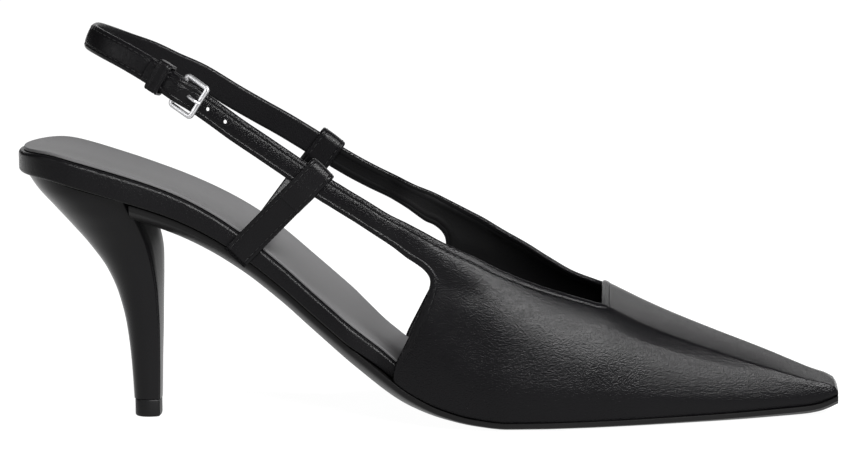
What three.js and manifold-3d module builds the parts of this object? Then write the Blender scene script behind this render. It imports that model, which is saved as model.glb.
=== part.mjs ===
// Slingback pump, right shoe, in millimetres.
// X runs from the heel's back to the toe, +Y is the inner side of the foot and +Z is up.
import * as THREE from 'three';
import { mergeVertices } from 'three/addons/utils/BufferGeometryUtils.js';
import Module from 'manifold-3d';

const wasm = await Module();
wasm.setup();

// Driving sizes of the shoe
const shoeLength = 249.4;
const ballWidth = 77.6;
const heelRise = 74;
const gap = 0.3;

// Driving sizes of the bottom
const soleThickness = 2.6;
const waistDepth = 4.2;
const footbedThickness = 7.7;
const footbedOverhang = 1.6;
const sockThickness = 0.9;
const sockInset = 1.7;
const seatDepth = 20;
const archTwist = 1.5;

// The footbed's cup, full up to one share of the length and gone at the other
const cupDepth = 1.2;
const cupFull = 0.22;
const cupEnd = 0.45;

// Driving sizes of the heel
const heelWidth = 51.6;
const heelBreast = 42.4;
const tipThickness = 5.5;

// Driving sizes of the upper
const upperWall = 1.6;
const vampRise = 37.4;
const crownRise = 3.4;
const toeLength = 71.4;
const throatPlace = shoeLength - toeLength;
const topPlaneWidth = 48;
const soleMargin = 0.7;
const wallBulge = 0.3;

// Driving sizes of the straps and the buckle
const strapWidth = 7.8;
const strapWall = 1.6;
const slingWall = 2;
const slingRise = 45.4;
const slingSpread = 33.4;
const tabWidth = 8.4;
const tabWall = 1.3;
const outerLoopPlace = 89.5;
const innerLoopPlace = 92.4;
const keeperPlace = 46.2;
const keeperWidth = 4.4;
const bucklePlace = 57.8;
const buckleReach = 7.2;
const barSize = 1.4;
const prongSize = 1.2;
const holeSize = 1.4;
const holePitch = 6.7;

// Bottom of the shoe. x is a share of the length, lift of the heel's rise, outer and inner of half the
// ball's width, depth of the waist's depth, flat of the half width, thick of the footbed, cover says how
// far the footbed has passed inside the vamp and twist is a share of the arch's twist.
const bottomRows = [
  { x: 0.00, lift: 1.000, outer: 0.640, inner: 0.640, depth: 0.70, flat: 0.55, thick: 1.00, cover: 0, twist: 0 },
  { x: 0.04, lift: 0.985, outer: 0.643, inner: 0.643, depth: 0.70, flat: 0.55, thick: 1.00, cover: 0, twist: 0 },
  { x: 0.08, lift: 0.949, outer: 0.645, inner: 0.645, depth: 0.70, flat: 0.55, thick: 1.00, cover: 0, twist: 0 },
  { x: 0.12, lift: 0.907, outer: 0.633, inner: 0.633, depth: 0.70, flat: 0.55, thick: 1.00, cover: 0, twist: 0 },
  { x: 0.16, lift: 0.864, outer: 0.611, inner: 0.608, depth: 0.70, flat: 0.55, thick: 0.98, cover: 0, twist: 0 },
  { x: 0.20, lift: 0.815, outer: 0.593, inner: 0.583, depth: 0.74, flat: 0.52, thick: 0.95, cover: 0, twist: 0.1 },
  { x: 0.24, lift: 0.753, outer: 0.583, inner: 0.562, depth: 0.80, flat: 0.50, thick: 0.91, cover: 0, twist: 0.4 },
  { x: 0.28, lift: 0.674, outer: 0.583, inner: 0.552, depth: 0.88, flat: 0.48, thick: 0.87, cover: 0, twist: 0.8 },
  { x: 0.32, lift: 0.573, outer: 0.603, inner: 0.552, depth: 0.95, flat: 0.48, thick: 0.85, cover: 0, twist: 1 },
  { x: 0.36, lift: 0.456, outer: 0.644, inner: 0.567, depth: 1.00, flat: 0.50, thick: 0.83, cover: 0, twist: 1 },
  { x: 0.40, lift: 0.337, outer: 0.706, inner: 0.603, depth: 1.00, flat: 0.55, thick: 0.82, cover: 0, twist: 0.8 },
  { x: 0.42, lift: 0.277, outer: 0.745, inner: 0.637, depth: 0.97, flat: 0.56, thick: 0.80, cover: 0.35, twist: 0.5 },
  { x: 0.45, lift: 0.190, outer: 0.805, inner: 0.700, depth: 0.86, flat: 0.60, thick: 0.77, cover: 1, twist: 0.1 },
  { x: 0.48, lift: 0.114, outer: 0.861, inner: 0.771, depth: 0.56, flat: 0.64, thick: 0.70, cover: 1, twist: 0 },
  { x: 0.52, lift: 0.049, outer: 0.926, inner: 0.858, depth: 0.20, flat: 0.70, thick: 0.58, cover: 1, twist: 0 },
  { x: 0.56, lift: 0.014, outer: 0.974, inner: 0.933, depth: 0.03, flat: 0.72, thick: 0.50, cover: 1, twist: 0 },
  { x: 0.60, lift: 0.000, outer: 0.997, inner: 0.985, depth: 0.00, flat: 0.72, thick: 0.46, cover: 1, twist: 0 },
  { x: 0.64, lift: 0.000, outer: 0.990, inner: 1.005, depth: 0.00, flat: 0.72, thick: 0.44, cover: 1, twist: 0 },
  { x: 0.68, lift: 0.000, outer: 0.954, inner: 0.995, depth: 0.00, flat: 0.72, thick: 0.42, cover: 1, twist: 0 },
  { x: 0.72, lift: 0.000, outer: 0.896, inner: 0.957, depth: 0.00, flat: 0.72, thick: 0.41, cover: 1, twist: 0 },
  { x: 0.76, lift: 0.000, outer: 0.820, inner: 0.896, depth: 0.00, flat: 0.72, thick: 0.40, cover: 1, twist: 0 },
  { x: 0.80, lift: 0.000, outer: 0.732, inner: 0.814, depth: 0.00, flat: 0.72, thick: 0.40, cover: 1, twist: 0 },
  { x: 0.84, lift: 0.000, outer: 0.638, inner: 0.716, depth: 0.00, flat: 0.72, thick: 0.39, cover: 1, twist: 0 },
  { x: 0.88, lift: 0.001, outer: 0.541, inner: 0.608, depth: 0.00, flat: 0.72, thick: 0.38, cover: 1, twist: 0 },
  { x: 0.92, lift: 0.004, outer: 0.444, inner: 0.500, depth: 0.00, flat: 0.72, thick: 0.37, cover: 1, twist: 0 },
  { x: 0.96, lift: 0.009, outer: 0.357, inner: 0.397, depth: 0.00, flat: 0.72, thick: 0.36, cover: 1, twist: 0 },
  { x: 0.976, lift: 0.016, outer: 0.326, inner: 0.356, depth: 0.00, flat: 0.72, thick: 0.35, cover: 1, twist: 0 },
  { x: 0.988, lift: 0.028, outer: 0.304, inner: 0.328, depth: 0.00, flat: 0.72, thick: 0.35, cover: 1, twist: 0 },
  { x: 1.00, lift: 0.044, outer: 0.268, inner: 0.288, depth: 0.00, flat: 0.72, thick: 0.35, cover: 1, twist: 0 },
];

// The last over the foot. x is a share of the length. Ridge is the half width of the top plane as a share
// of half its width at the throat, outer and inner are the heights of the shoulder above the sole as shares
// of the vamp's rise, crown is a share of the crown's rise and full rounds the wall under the shoulder.
const lastRows = [
  { x: 0.380, ridge: 1.300, outer: 1.180, inner: 1.245, crown: 3.0, full: 0.50 },
  { x: 0.420, ridge: 1.350, outer: 1.285, inner: 1.350, crown: 3.0, full: 0.50 },
  { x: 0.450, ridge: 1.375, outer: 1.345, inner: 1.420, crown: 3.0, full: 0.50 },
  { x: 0.480, ridge: 1.385, outer: 1.395, inner: 1.490, crown: 3.0, full: 0.50 },
  { x: 0.504, ridge: 1.385, outer: 1.395, inner: 1.505, crown: 3.0, full: 0.50 },
  { x: 0.524, ridge: 1.370, outer: 1.370, inner: 1.490, crown: 3.0, full: 0.50 },
  { x: 0.556, ridge: 1.320, outer: 1.320, inner: 1.440, crown: 3.0, full: 0.50 },
  { x: 0.584, ridge: 1.262, outer: 1.245, inner: 1.360, crown: 2.8, full: 0.52 },
  { x: 0.616, ridge: 1.196, outer: 1.150, inner: 1.246, crown: 2.4, full: 0.54 },
  { x: 0.644, ridge: 1.135, outer: 1.062, inner: 1.130, crown: 2.0, full: 0.56 },
  { x: 0.676, ridge: 1.066, outer: 0.968, inner: 1.008, crown: 1.5, full: 0.58 },
  { x: 0.712, ridge: 1.000, outer: 0.918, inner: 0.918, crown: 0.94, full: 0.60 },
  { x: 0.736, ridge: 0.958, outer: 0.840, inner: 0.840, crown: 0.97, full: 0.60 },
  { x: 0.760, ridge: 0.916, outer: 0.760, inner: 0.760, crown: 1.00, full: 0.58 },
  { x: 0.800, ridge: 0.842, outer: 0.641, inner: 0.641, crown: 1.00, full: 0.54 },
  { x: 0.840, ridge: 0.767, outer: 0.535, inner: 0.535, crown: 0.97, full: 0.48 },
  { x: 0.880, ridge: 0.690, outer: 0.432, inner: 0.432, crown: 0.94, full: 0.42 },
  { x: 0.912, ridge: 0.626, outer: 0.353, inner: 0.353, crown: 0.84, full: 0.36 },
  { x: 0.940, ridge: 0.568, outer: 0.283, inner: 0.283, crown: 0.68, full: 0.32 },
  { x: 0.964, ridge: 0.518, outer: 0.222, inner: 0.222, crown: 0.50, full: 0.30 },
  { x: 0.982, ridge: 0.478, outer: 0.170, inner: 0.170, crown: 0.34, full: 0.30 },
  { x: 0.992, ridge: 0.450, outer: 0.120, inner: 0.120, crown: 0.24, full: 0.30 },
  { x: 0.9972, ridge: 0.425, outer: 0.083, inner: 0.083, crown: 0.18, full: 0.30 },
  { x: 1.000, ridge: 0.395, outer: 0.040, inner: 0.040, crown: 0.12, full: 0.30 },
];

// Top edge of the vamp from the strap's root to the throat: x as a share of the throat's place, rise above
// the sole's top as a share of the vamp's rise, for the outer and the inner side.
const toplineRows = [
  { x: 0.734, outer: 1.370, inner: 1.490 },
  { x: 0.779, outer: 1.325, inner: 1.447 },
  { x: 0.818, outer: 1.245, inner: 1.362 },
  { x: 0.863, outer: 1.152, inner: 1.247 },
  { x: 0.902, outer: 1.062, inner: 1.130 },
  { x: 0.944, outer: 0.970, inner: 1.014 },
  { x: 0.967, outer: 0.916, inner: 0.948 },
  { x: 0.986, outer: 0.908, inner: 0.914 },
];

// Front edge of the side cut-outs, from the strap's lower edge down to the sole. Each side has its own x,
// as a share of the throat's place, and rise, measured like the topline.
const windowRows = [
  { outerX: 0.6725, outer: 1.098, innerX: 0.6866, inner: 1.217 },
  { outerX: 0.6880, outer: 1.094, innerX: 0.7020, inner: 1.222 },
  { outerX: 0.7027, outer: 1.076, innerX: 0.7151, inner: 1.200 },
  { outerX: 0.7104, outer: 1.040, innerX: 0.7219, inner: 1.158 },
  { outerX: 0.7111, outer: 1.000, innerX: 0.7230, inner: 1.104 },
  { outerX: 0.7090, outer: 0.950, innerX: 0.7202, inner: 1.020 },
  { outerX: 0.6980, outer: 0.790, innerX: 0.7062, inner: 0.830 },
  { outerX: 0.6710, outer: 0.450, innerX: 0.6753, inner: 0.480 },
  { outerX: 0.6470, outer: 0.130, innerX: 0.6487, inner: 0.140 },
  { outerX: 0.6420, outer: -0.060, innerX: 0.6417, inner: -0.060 },
];

// Where each strap widens into the vamp: x as a share of the throat's place, and the widths above and below
// its middle line as shares of half the strap's width
const rootRows = [
  { x: 0.6025, outerTop: 1.00, outerLow: 1.02, innerTop: 1.02, innerLow: 0.97 },
  { x: 0.6360, outerTop: 1.02, outerLow: 1.08, innerTop: 1.12, innerLow: 0.92 },
  { x: 0.6610, outerTop: 1.06, outerLow: 1.13, innerTop: 1.18, innerLow: 0.94 },
];
const rootPlace = ((rootRows[0].x + rootRows[1].x) / 2) * throatPlace;

// Middle line of the straps. x is a share of the length, side of the sling's spread, rise above the sole's
// top as a share of the sling's rise, and lean is the inward tilt of the strap's face in degrees.
const outerStrapRows = [
  { x: 0.508, side: 1.020, rise: 1.043, lean: 6 },
  { x: 0.476, side: 1.010, rise: 1.033, lean: 6 },
  { x: 0.448, side: 0.990, rise: 1.012, lean: 6 },
  { x: 0.419, side: 0.970, rise: 0.975, lean: 6 },
  { x: 0.390, side: 0.945, rise: 0.928, lean: 6 },
  { x: 0.360, side: 0.922, rise: 0.892, lean: 6 },
  { x: 0.332, side: 0.900, rise: 0.862, lean: 6 },
  { x: 0.304, side: 0.876, rise: 0.842, lean: 6 },
  { x: 0.276, side: 0.850, rise: 0.836, lean: 6 },
  { x: 0.248, side: 0.817, rise: 0.856, lean: 7 },
  { x: 0.220, side: 0.775, rise: 0.884, lean: 8 },
  { x: 0.184, side: 0.705, rise: 0.928, lean: 11 },
  { x: 0.145, side: 0.595, rise: 0.975, lean: 15 },
  { x: 0.115, side: 0.440, rise: 0.998, lean: 20 },
  { x: 0.097, side: 0.235, rise: 1.003, lean: 23 },
];
const innerStrapRows = [
  { x: 0.508, side: 1.020, rise: 1.145, lean: 6 },
  { x: 0.476, side: 1.015, rise: 1.115, lean: 6 },
  { x: 0.448, side: 1.000, rise: 1.080, lean: 6 },
  { x: 0.419, side: 0.985, rise: 1.030, lean: 6 },
  { x: 0.390, side: 0.965, rise: 0.982, lean: 6 },
  { x: 0.346, side: 0.940, rise: 0.926, lean: 6 },
  { x: 0.316, side: 0.922, rise: 0.890, lean: 6 },
  { x: 0.286, side: 0.904, rise: 0.862, lean: 6 },
  { x: 0.257, side: 0.880, rise: 0.858, lean: 7 },
  { x: 0.214, side: 0.817, rise: 0.892, lean: 9 },
  { x: 0.185, side: 0.748, rise: 0.908, lean: 11 },
  { x: 0.156, side: 0.668, rise: 0.938, lean: 14 },
  { x: 0.129, side: 0.533, rise: 0.958, lean: 18 },
  { x: 0.108, side: 0.350, rise: 0.982, lean: 22 },
  { x: 0.095, side: 0.150, rise: 1.000, lean: 24 },
];
const slingBack = { x: 0.092, lean: 24 };

// Where the middle of each tab crosses the footbed's top edge, as a share of the length, and the tab's slope
// seen from the side in degrees
const tabLines = {
  outer: { foot: 0.288, slope: 45 },
  inner: { foot: 0.300, slope: 52 },
};

// The heel from the seat down. z is a share of the heel's rise, back and front of the breast's place,
// nose is how far the breast's middle stands forward, wide and corner of half the heel's width.
const heelRows = [
  { z: 1.080, back: 0.010, front: 0.760, nose: 0.000, wide: 1.000, corner: 0.960 },
  { z: 0.973, back: 0.127, front: 0.800, nose: 0.030, wide: 0.966, corner: 0.905 },
  { z: 0.892, back: 0.250, front: 0.849, nose: 0.070, wide: 0.864, corner: 0.784 },
  { z: 0.811, back: 0.373, front: 0.906, nose: 0.084, wide: 0.717, corner: 0.628 },
  { z: 0.730, back: 0.491, front: 0.948, nose: 0.078, wide: 0.585, corner: 0.488 },
  { z: 0.622, back: 0.620, front: 0.979, nose: 0.052, wide: 0.457, corner: 0.372 },
  { z: 0.514, back: 0.698, front: 0.995, nose: 0.030, wide: 0.361, corner: 0.296 },
  { z: 0.378, back: 0.752, front: 1.000, nose: 0.018, wide: 0.284, corner: 0.236 },
  { z: 0.216, back: 0.781, front: 0.996, nose: 0.010, wide: 0.230, corner: 0.192 },
  { z: 0.000, back: 0.800, front: 0.986, nose: 0.006, wide: 0.204, corner: 0.172 },
];

// Materials
const leather = new THREE.MeshStandardMaterial({ color: 0x1c1b1d, roughness: 0.45, metalness: 0 });
const soleLeather = new THREE.MeshStandardMaterial({ color: 0x151416, roughness: 0.5, metalness: 0 });
const heelCover = new THREE.MeshStandardMaterial({ color: 0x1e1d1f, roughness: 0.4, metalness: 0 });
const rubber = new THREE.MeshStandardMaterial({ color: 0x121214, roughness: 0.7, metalness: 0 });
const lining = new THREE.MeshStandardMaterial({ color: 0x8c8b8d, roughness: 0.35, metalness: 0 });
const nickel = new THREE.MeshStandardMaterial({ color: 0xc4c4c6, roughness: 0.25, metalness: 1 });

// Smooth curve through one column of a table, without overshoot between its rows
function column(rows, name, key = 'x') {
  const xs = rows.map((row) => row[key]);
  const ys = rows.map((row) => row[name]);
  const steps = xs.slice(1).map((x, i) => (ys[i + 1] - ys[i]) / (x - xs[i]));
  const slopes = xs.map((x, i) => {
    if (i === 0) return steps[0];
    if (i === xs.length - 1) return steps[i - 1];
    if (steps[i - 1] * steps[i] <= 0) return 0;
    return (2 * steps[i - 1] * steps[i]) / (steps[i - 1] + steps[i]);
  });
  return (at) => {
    const x = THREE.MathUtils.clamp(at, xs[0], xs[xs.length - 1]);
    let i = 0;
    while (i < xs.length - 2 && x > xs[i + 1]) i += 1;
    const width = xs[i + 1] - xs[i];
    const t = (x - xs[i]) / width;
    const start = ys[i] * (1 + 2 * t) * (1 - t) ** 2 + ys[i + 1] * t * t * (3 - 2 * t);
    return start + width * (slopes[i] * t * (1 - t) ** 2 - slopes[i + 1] * t * t * (1 - t));
  };
}

const along = (rows, name) => {
  const curve = column(rows, name);
  return (x) => curve(x / shoeLength);
};
const bottom = Object.fromEntries(
  Object.keys(bottomRows[0]).slice(1).map((name) => [name, along(bottomRows, name)]),
);
const last = Object.fromEntries(
  Object.keys(lastRows[0]).slice(1).map((name) => [name, along(lastRows, name)]),
);

// Closed mesh through rings of points, one ring per section, each end closed by a fan
function loft(rings) {
  const count = rings[0].length;
  const points = rings.flat();
  const index = [];
  for (let r = 0; r < rings.length - 1; r += 1) {
    for (let i = 0; i < count; i += 1) {
      const a = r * count + i;
      const b = r * count + ((i + 1) % count);
      index.push(a, b, b + count, a, b + count, a + count);
    }
  }
  [0, rings.length - 1].forEach((r, end) => {
    const middle = new THREE.Vector3();
    rings[r].forEach((point) => middle.addScaledVector(point, 1 / count));
    points.push(middle);
    for (let i = 0; i < count; i += 1) {
      const a = r * count + i;
      const b = r * count + ((i + 1) % count);
      index.push(points.length - 1, ...(end ? [a, b] : [b, a]));
    }
  });
  const geometry = new THREE.BufferGeometry().setFromPoints(points);
  geometry.setIndex(index);
  return geometry;
}

// A geometry as a solid for cutting and joining, with its faces outwards
function solid(geometry) {
  const bare = geometry.clone();
  bare.deleteAttribute('normal');
  bare.deleteAttribute('uv');
  const merged = mergeVertices(bare, 1e-5);
  const vertProperties = new Float32Array(merged.attributes.position.array);
  const triVerts = new Uint32Array(merged.index.array);
  let volume = 0;
  const corner = (i) => new THREE.Vector3().fromArray(vertProperties, 3 * triVerts[i]);
  for (let i = 0; i < triVerts.length; i += 3) {
    volume += corner(i).dot(corner(i + 1).cross(corner(i + 2)));
  }
  if (volume < 0) {
    for (let i = 0; i < triVerts.length; i += 3) {
      [triVerts[i], triVerts[i + 1]] = [triVerts[i + 1], triVerts[i]];
    }
  }
  return new wasm.Manifold(new wasm.Mesh({ numProp: 3, vertProperties, triVerts }));
}

const solidLoft = (rings) => solid(loft(rings));

// A flat outline in x and z, drawn out along Y between two places
function slab(outline, from, to) {
  const shape = new THREE.Shape(outline.map(([x, z]) => new THREE.Vector2(x, z)));
  const geometry = new THREE.ExtrudeGeometry(shape, { depth: to - from, bevelEnabled: false });
  geometry.rotateX(Math.PI / 2).translate(0, to, 0);
  return solid(geometry);
}

function toMesh(name, body, material) {
  const { vertProperties, triVerts, numProp } = body.getMesh();
  const position = new Float32Array((vertProperties.length / numProp) * 3);
  for (let i = 0; i < position.length / 3; i += 1) {
    position.set(vertProperties.slice(i * numProp, i * numProp + 3), 3 * i);
  }
  const geometry = new THREE.BufferGeometry();
  geometry.setAttribute('position', new THREE.BufferAttribute(position, 3));
  geometry.setIndex(new THREE.BufferAttribute(new Uint32Array(triVerts), 1));
  const mesh = new THREE.Mesh(geometry, material);
  mesh.name = name;
  return mesh;
}

// Evenly spaced values between two limits
function spread(from, to, steps) {
  return Array.from({ length: steps + 1 }, (_, i) => from + ((to - from) * i) / steps);
}

// Stations along the shoe as shares of its length, closer together at the round back and at the toe
const seatShares = [0.0006, 0.0032, 0.008, 0.016, 0.028, 0.040, 0.056, 0.080, 0.112, 0.144];
const toeShares = [0.964, 0.980, 0.990, 0.9972, 1];
const stations = [...seatShares, ...spread(0.176, 0.592, 16), ...spread(0.624, 0.944, 10), ...toeShares]
  .map((share) => share * shoeLength);

// Top of the sole at a place, with the arch's twist towards the inner side
function soleTop(x, y = 0) {
  const reach = (bottom.outer(x) * ballWidth) / 2;
  return bottom.lift(x) * heelRise + soleThickness + (bottom.twist(x) * archTwist * y) / reach;
}

// Half width of the sole's outline, with a round seat, drawn in by an inset
function outline(x, side, inset = 0) {
  const half = (bottom[side < 0 ? 'outer' : 'inner'](x) * ballWidth) / 2 - inset;
  const power = 2.15;
  const back = Math.max(0, (seatDepth - x) / (seatDepth - Math.max(inset, 0)));
  return back > 0 ? half * Math.max(0, 1 - back ** power) ** (1 / power) : half;
}

// Outline of the footbed: past the sole's edge at the seat and waist, inside the vamp's wall further on
function footbedHalf(x, side, inset = 0) {
  const inside = upperWall + soleMargin + 2 * gap;
  const shift = THREE.MathUtils.lerp(footbedOverhang, -inside, bottom.cover(x));
  return outline(x, side, inset) + shift;
}

// A bar-shaped ring across the shoe, given half widths, a bottom and a top, with rounded corners
function bottomRing(x, half, low, high, lowRound, highRound) {
  const third = (side) => (side * bottom[side < 0 ? 'outer' : 'inner'](x) * ballWidth) / 6;
  const seat = Math.min(1, half(1) / (0.5 * heelWidth));
  const right = [
    [seat * third(1), (y) => low(y)],
    [half(1) - lowRound, (y) => low(y)],
    [half(1), (y) => low(y) + lowRound],
    [half(1), (y) => high(y) - highRound],
    [half(1) - 0.3 * highRound, (y) => high(y) - 0.3 * highRound],
    [half(1) - highRound, (y) => high(y)],
    [seat * third(1), (y) => high(y)],
  ];
  const left = [
    [seat * third(-1), (y) => high(y)],
    [-half(-1) + highRound, (y) => high(y)],
    [-half(-1) + 0.3 * highRound, (y) => high(y) - 0.3 * highRound],
    [-half(-1), (y) => high(y) - highRound],
    [-half(-1), (y) => low(y) + lowRound],
    [-half(-1) + lowRound, (y) => low(y)],
    [seat * third(-1), (y) => low(y)],
  ];
  return [...right, ...left].map(([y, z]) => new THREE.Vector3(x, y, z(y)));
}

// Top of the footbed. Behind the vamp its outer thirds rise towards the edge.
function footbedTop(x, y = 0) {
  const third = (bottom[y < 0 ? 'outer' : 'inner'](x) * ballWidth) / 6;
  const rise = cupDepth * Math.max(0, Math.abs(y) / third - 1) / 2;
  const faded = THREE.MathUtils.smoothstep(x / shoeLength, cupFull, cupEnd);
  return soleTop(x, y) + gap + bottom.thick(x) * footbedThickness + (rise - cupDepth) * (1 - faded);
}

function makeFootbed() {
  const rings = stations.filter((x) => x < 0.98 * shoeLength).map((x) => bottomRing(
    x,
    (side) => footbedHalf(x, side),
    (y) => soleTop(x, y) + gap,
    (y) => footbedTop(x, y),
    0.5,
    1.2,
  ));
  return solidLoft(rings);
}

function makeSock() {
  const rings = stations
    .map((x) => (x < seatDepth ? sockInset + (x * (seatDepth - sockInset)) / seatDepth : x))
    .filter((x) => x < 0.96 * shoeLength)
    .map((x) => bottomRing(
      x,
      (side) => footbedHalf(x, side, sockInset),
      (y) => footbedTop(x, y) + gap,
      (y) => footbedTop(x, y) + gap + sockThickness,
      0.15,
      0.4,
    ));
  return solidLoft(rings);
}

// Outsole from the breast to the toe, bevelled under the waist
function makeOutsole() {
  const breast = heelRows[1].front * heelBreast + gap;
  const rings = [breast, ...stations.filter((x) => x > breast + 1)].map((x) => {
    const outer = outline(x, -1);
    const inner = outline(x, 1);
    const flat = bottom.flat(x);
    const depth = soleThickness + bottom.depth(x) * waistDepth;
    const edge = 0.48 * soleThickness;
    const round = 0.2 * soleThickness;
    const under = edge + round * 0.8 + 0.2 * (depth - soleThickness);
    const middle = under + 0.8 * (depth - under);
    const section = [
      [inner, 0],
      [inner, edge],
      [inner - round, under],
      [inner * (0.5 + flat / 2), middle],
      [inner * flat, depth],
      [-outer * flat, depth],
      [-outer * (0.5 + flat / 2), middle],
      [-outer + round, under],
      [-outer, edge],
      [-outer, 0],
    ];
    return section.map(([y, drop]) => new THREE.Vector3(x, y, soleTop(x, y) - drop));
  });
  return solidLoft(rings).subtract(heelBody(gap)).subtract(abovePlane());
}

// The block above the sole's top, used to trim what stands under it
function abovePlane() {
  return solidLoft([-seatDepth, ...stations, shoeLength + seatDepth].map((x) => {
    const line = soleTop(THREE.MathUtils.clamp(x, 0, shoeLength));
    return [[-1, line], [1, line], [1, 2 * heelRise], [-1, 2 * heelRise]]
      .map(([side, z]) => new THREE.Vector3(x, side * ballWidth, z));
  }));
}

// The block under the sole's top, used to end what hangs down over the footbed's side
function belowPlane() {
  return solidLoft([-seatDepth, ...stations].map((x) => {
    const line = soleTop(Math.max(x, 0));
    return [[-1, line], [1, line], [1, line - heelRise], [-1, line - heelRise]]
      .map(([side, z]) => new THREE.Vector3(x, side * ballWidth, z));
  }));
}

// Ring of the heel at a height: round at the back, straight sides, a breast with a raised middle
function heelRing(row, z, grow = 0) {
  const back = row.back * heelBreast - grow;
  const front = row.front * heelBreast + grow;
  const wide = (row.wide * heelWidth) / 2 + grow;
  const corner = (row.corner * heelWidth) / 2 + grow;
  const nose = row.nose * heelBreast;
  const middle = back + 0.62 * (front - back);
  const half = [];
  const power = 2.2;
  spread(0, Math.PI / 2, 9).forEach((angle) => {
    const x = middle - (middle - back) * Math.cos(angle) ** (2 / power);
    half.push([x, wide * Math.sin(angle) ** (2 / power)]);
  });
  half.push([front - 0.16 * (front - middle), corner + 0.35 * (wide - corner)]);
  half.push([front, corner * 0.93]);
  half.push([front + nose * 0.55, corner * 0.55]);
  half.push([front + nose, 0]);
  const mirror = half.slice(1, -1).reverse().map(([x, y]) => [x, -y]);
  return [...half, ...mirror].map(([x, y]) => new THREE.Vector3(x, y, z));
}

function heelBody(grow = 0) {
  const names = ['back', 'front', 'nose', 'wide', 'corner'];
  const ordered = [...heelRows].reverse();
  const curves = Object.fromEntries(names.map((name) => [name, column(ordered, name, 'z')]));
  const low = (tipThickness + gap - grow) / heelRise;
  const heights = spread(low, heelRows[0].z, 16);
  const rings = heights.map((share) => {
    const row = Object.fromEntries(names.map((name) => [name, curves[name](share)]));
    return heelRing(row, share * heelRise, grow);
  });
  return solidLoft(rings);
}

const makeHeel = () => heelBody().subtract(abovePlane());

function makeHeelTip() {
  const foot = heelRows[heelRows.length - 1];
  const chamfer = 0.5;
  return solidLoft([
    heelRing(foot, 0, -chamfer),
    heelRing(foot, chamfer, 0),
    heelRing(foot, tipThickness, 0),
  ]);
}

// Section of the last at a station, from the outer feather edge over the foot to the inner one
function lastSection(x, inward = 0, drop = 0) {
  const closed = THREE.MathUtils.smoothstep(x, throatPlace - 8, throatPlace + 4);
  const floor = soleTop(x) + gap;
  const half = (side) => {
    const name = side < 0 ? 'outer' : 'inner';
    const wall = outline(x, side) + wallBulge - inward;
    const feather = outline(x, side) - soleMargin - inward;
    const lower = inward * THREE.MathUtils.lerp(0.15, 0.86, closed);
    const shoulder = soleTop(x) + last[name](x) * vampRise - lower;
    const ridge = (last.ridge(x) * topPlaneWidth) / 2 - inward * THREE.MathUtils.lerp(1, 0.75, closed);
    const crest = shoulder + last.crown(x) * crownRise - 0.2 * inward * closed;
    const bulge = floor + 0.24 * (shoulder - floor);
    const full = last.full(x);
    const bend = new THREE.Vector2(
      THREE.MathUtils.lerp((wall + ridge) / 2, wall, full),
      THREE.MathUtils.lerp((bulge + shoulder) / 2, shoulder, full),
    );
    const points = spread(0, 1, 3).slice(0, -1).map((t) => [
      feather + (wall - feather) * Math.sin((t * Math.PI) / 2),
      floor - drop + (bulge - floor + drop) * t,
    ]);
    const flank = new THREE.QuadraticBezierCurve(
      new THREE.Vector2(wall, bulge),
      bend,
      new THREE.Vector2(ridge, shoulder),
    );
    flank.getPoints(7).forEach((point) => points.push([point.x, point.y]));
    spread(1, 0, 4).slice(1).forEach((t) => {
      points.push([ridge * t, shoulder + (crest - shoulder) * (1 - t * t)]);
    });
    return points.map(([y, z]) => [side * y, z]);
  };
  const outer = half(-1);
  const inner = half(1);
  const top = [0, (outer[outer.length - 1][1] + inner[inner.length - 1][1]) / 2];
  return [...outer.slice(0, -1), top, ...inner.slice(0, -1).reverse()];
}

// Outer half width of the last at a height on one side
function wallAt(x, z, side) {
  const section = lastSection(x).filter(([y]) => y * side > 0);
  const climb = side < 0 ? section : section.reverse();
  for (let i = 0; i < climb.length - 1; i += 1) {
    const [y0, z0] = climb[i];
    const [y1, z1] = climb[i + 1];
    if (z >= z0 && z <= z1) return Math.abs(y0 + ((y1 - y0) * (z - z0)) / (z1 - z0));
  }
  return Math.abs(climb[climb.length - 1][0]);
}

// The straps' middle line, from the vamp's outer side round the heel to its inner side
function strapPoint(row, side) {
  const x = row.x * shoeLength;
  const z = soleTop(x) + row.rise * slingRise;
  const onVamp = row.x >= lastRows[2].x;
  const y = onVamp ? wallAt(x, z, side) - upperWall / 2 : row.side * slingSpread;
  return new THREE.Vector3(x, side * y, z);
}
const backPoint = new THREE.Vector3(
  slingBack.x * shoeLength,
  0,
  soleTop(slingBack.x * shoeLength) + slingRise,
);
const strapSteps = 800;
const strapLine = new THREE.CatmullRomCurve3([
  ...outerStrapRows.map((row) => strapPoint(row, -1)),
  backPoint,
  ...[...innerStrapRows].reverse().map((row) => strapPoint(row, 1)),
], false, 'centripetal');
strapLine.arcLengthDivisions = strapSteps;
const strapLength = strapLine.getLength();
const outerLean = column([...outerStrapRows].reverse(), 'lean');
const innerLean = column([...innerStrapRows].reverse(), 'lean');

// Distance along the straps' line where it passes a place x on one side
function distanceAt(x, side) {
  const turn = outerStrapRows.length / (strapLine.points.length - 1);
  let near = side < 0 ? 0 : 1;
  let far = turn;
  for (let i = 0; i < 40; i += 1) {
    const middle = (near + far) / 2;
    if (strapLine.getPoint(middle).x > x) near = middle;
    else far = middle;
  }
  const lengths = strapLine.getLengths(strapSteps);
  const place = near * strapSteps;
  const low = Math.floor(place);
  return THREE.MathUtils.lerp(lengths[low], lengths[Math.min(low + 1, strapSteps)], place - low);
}

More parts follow.
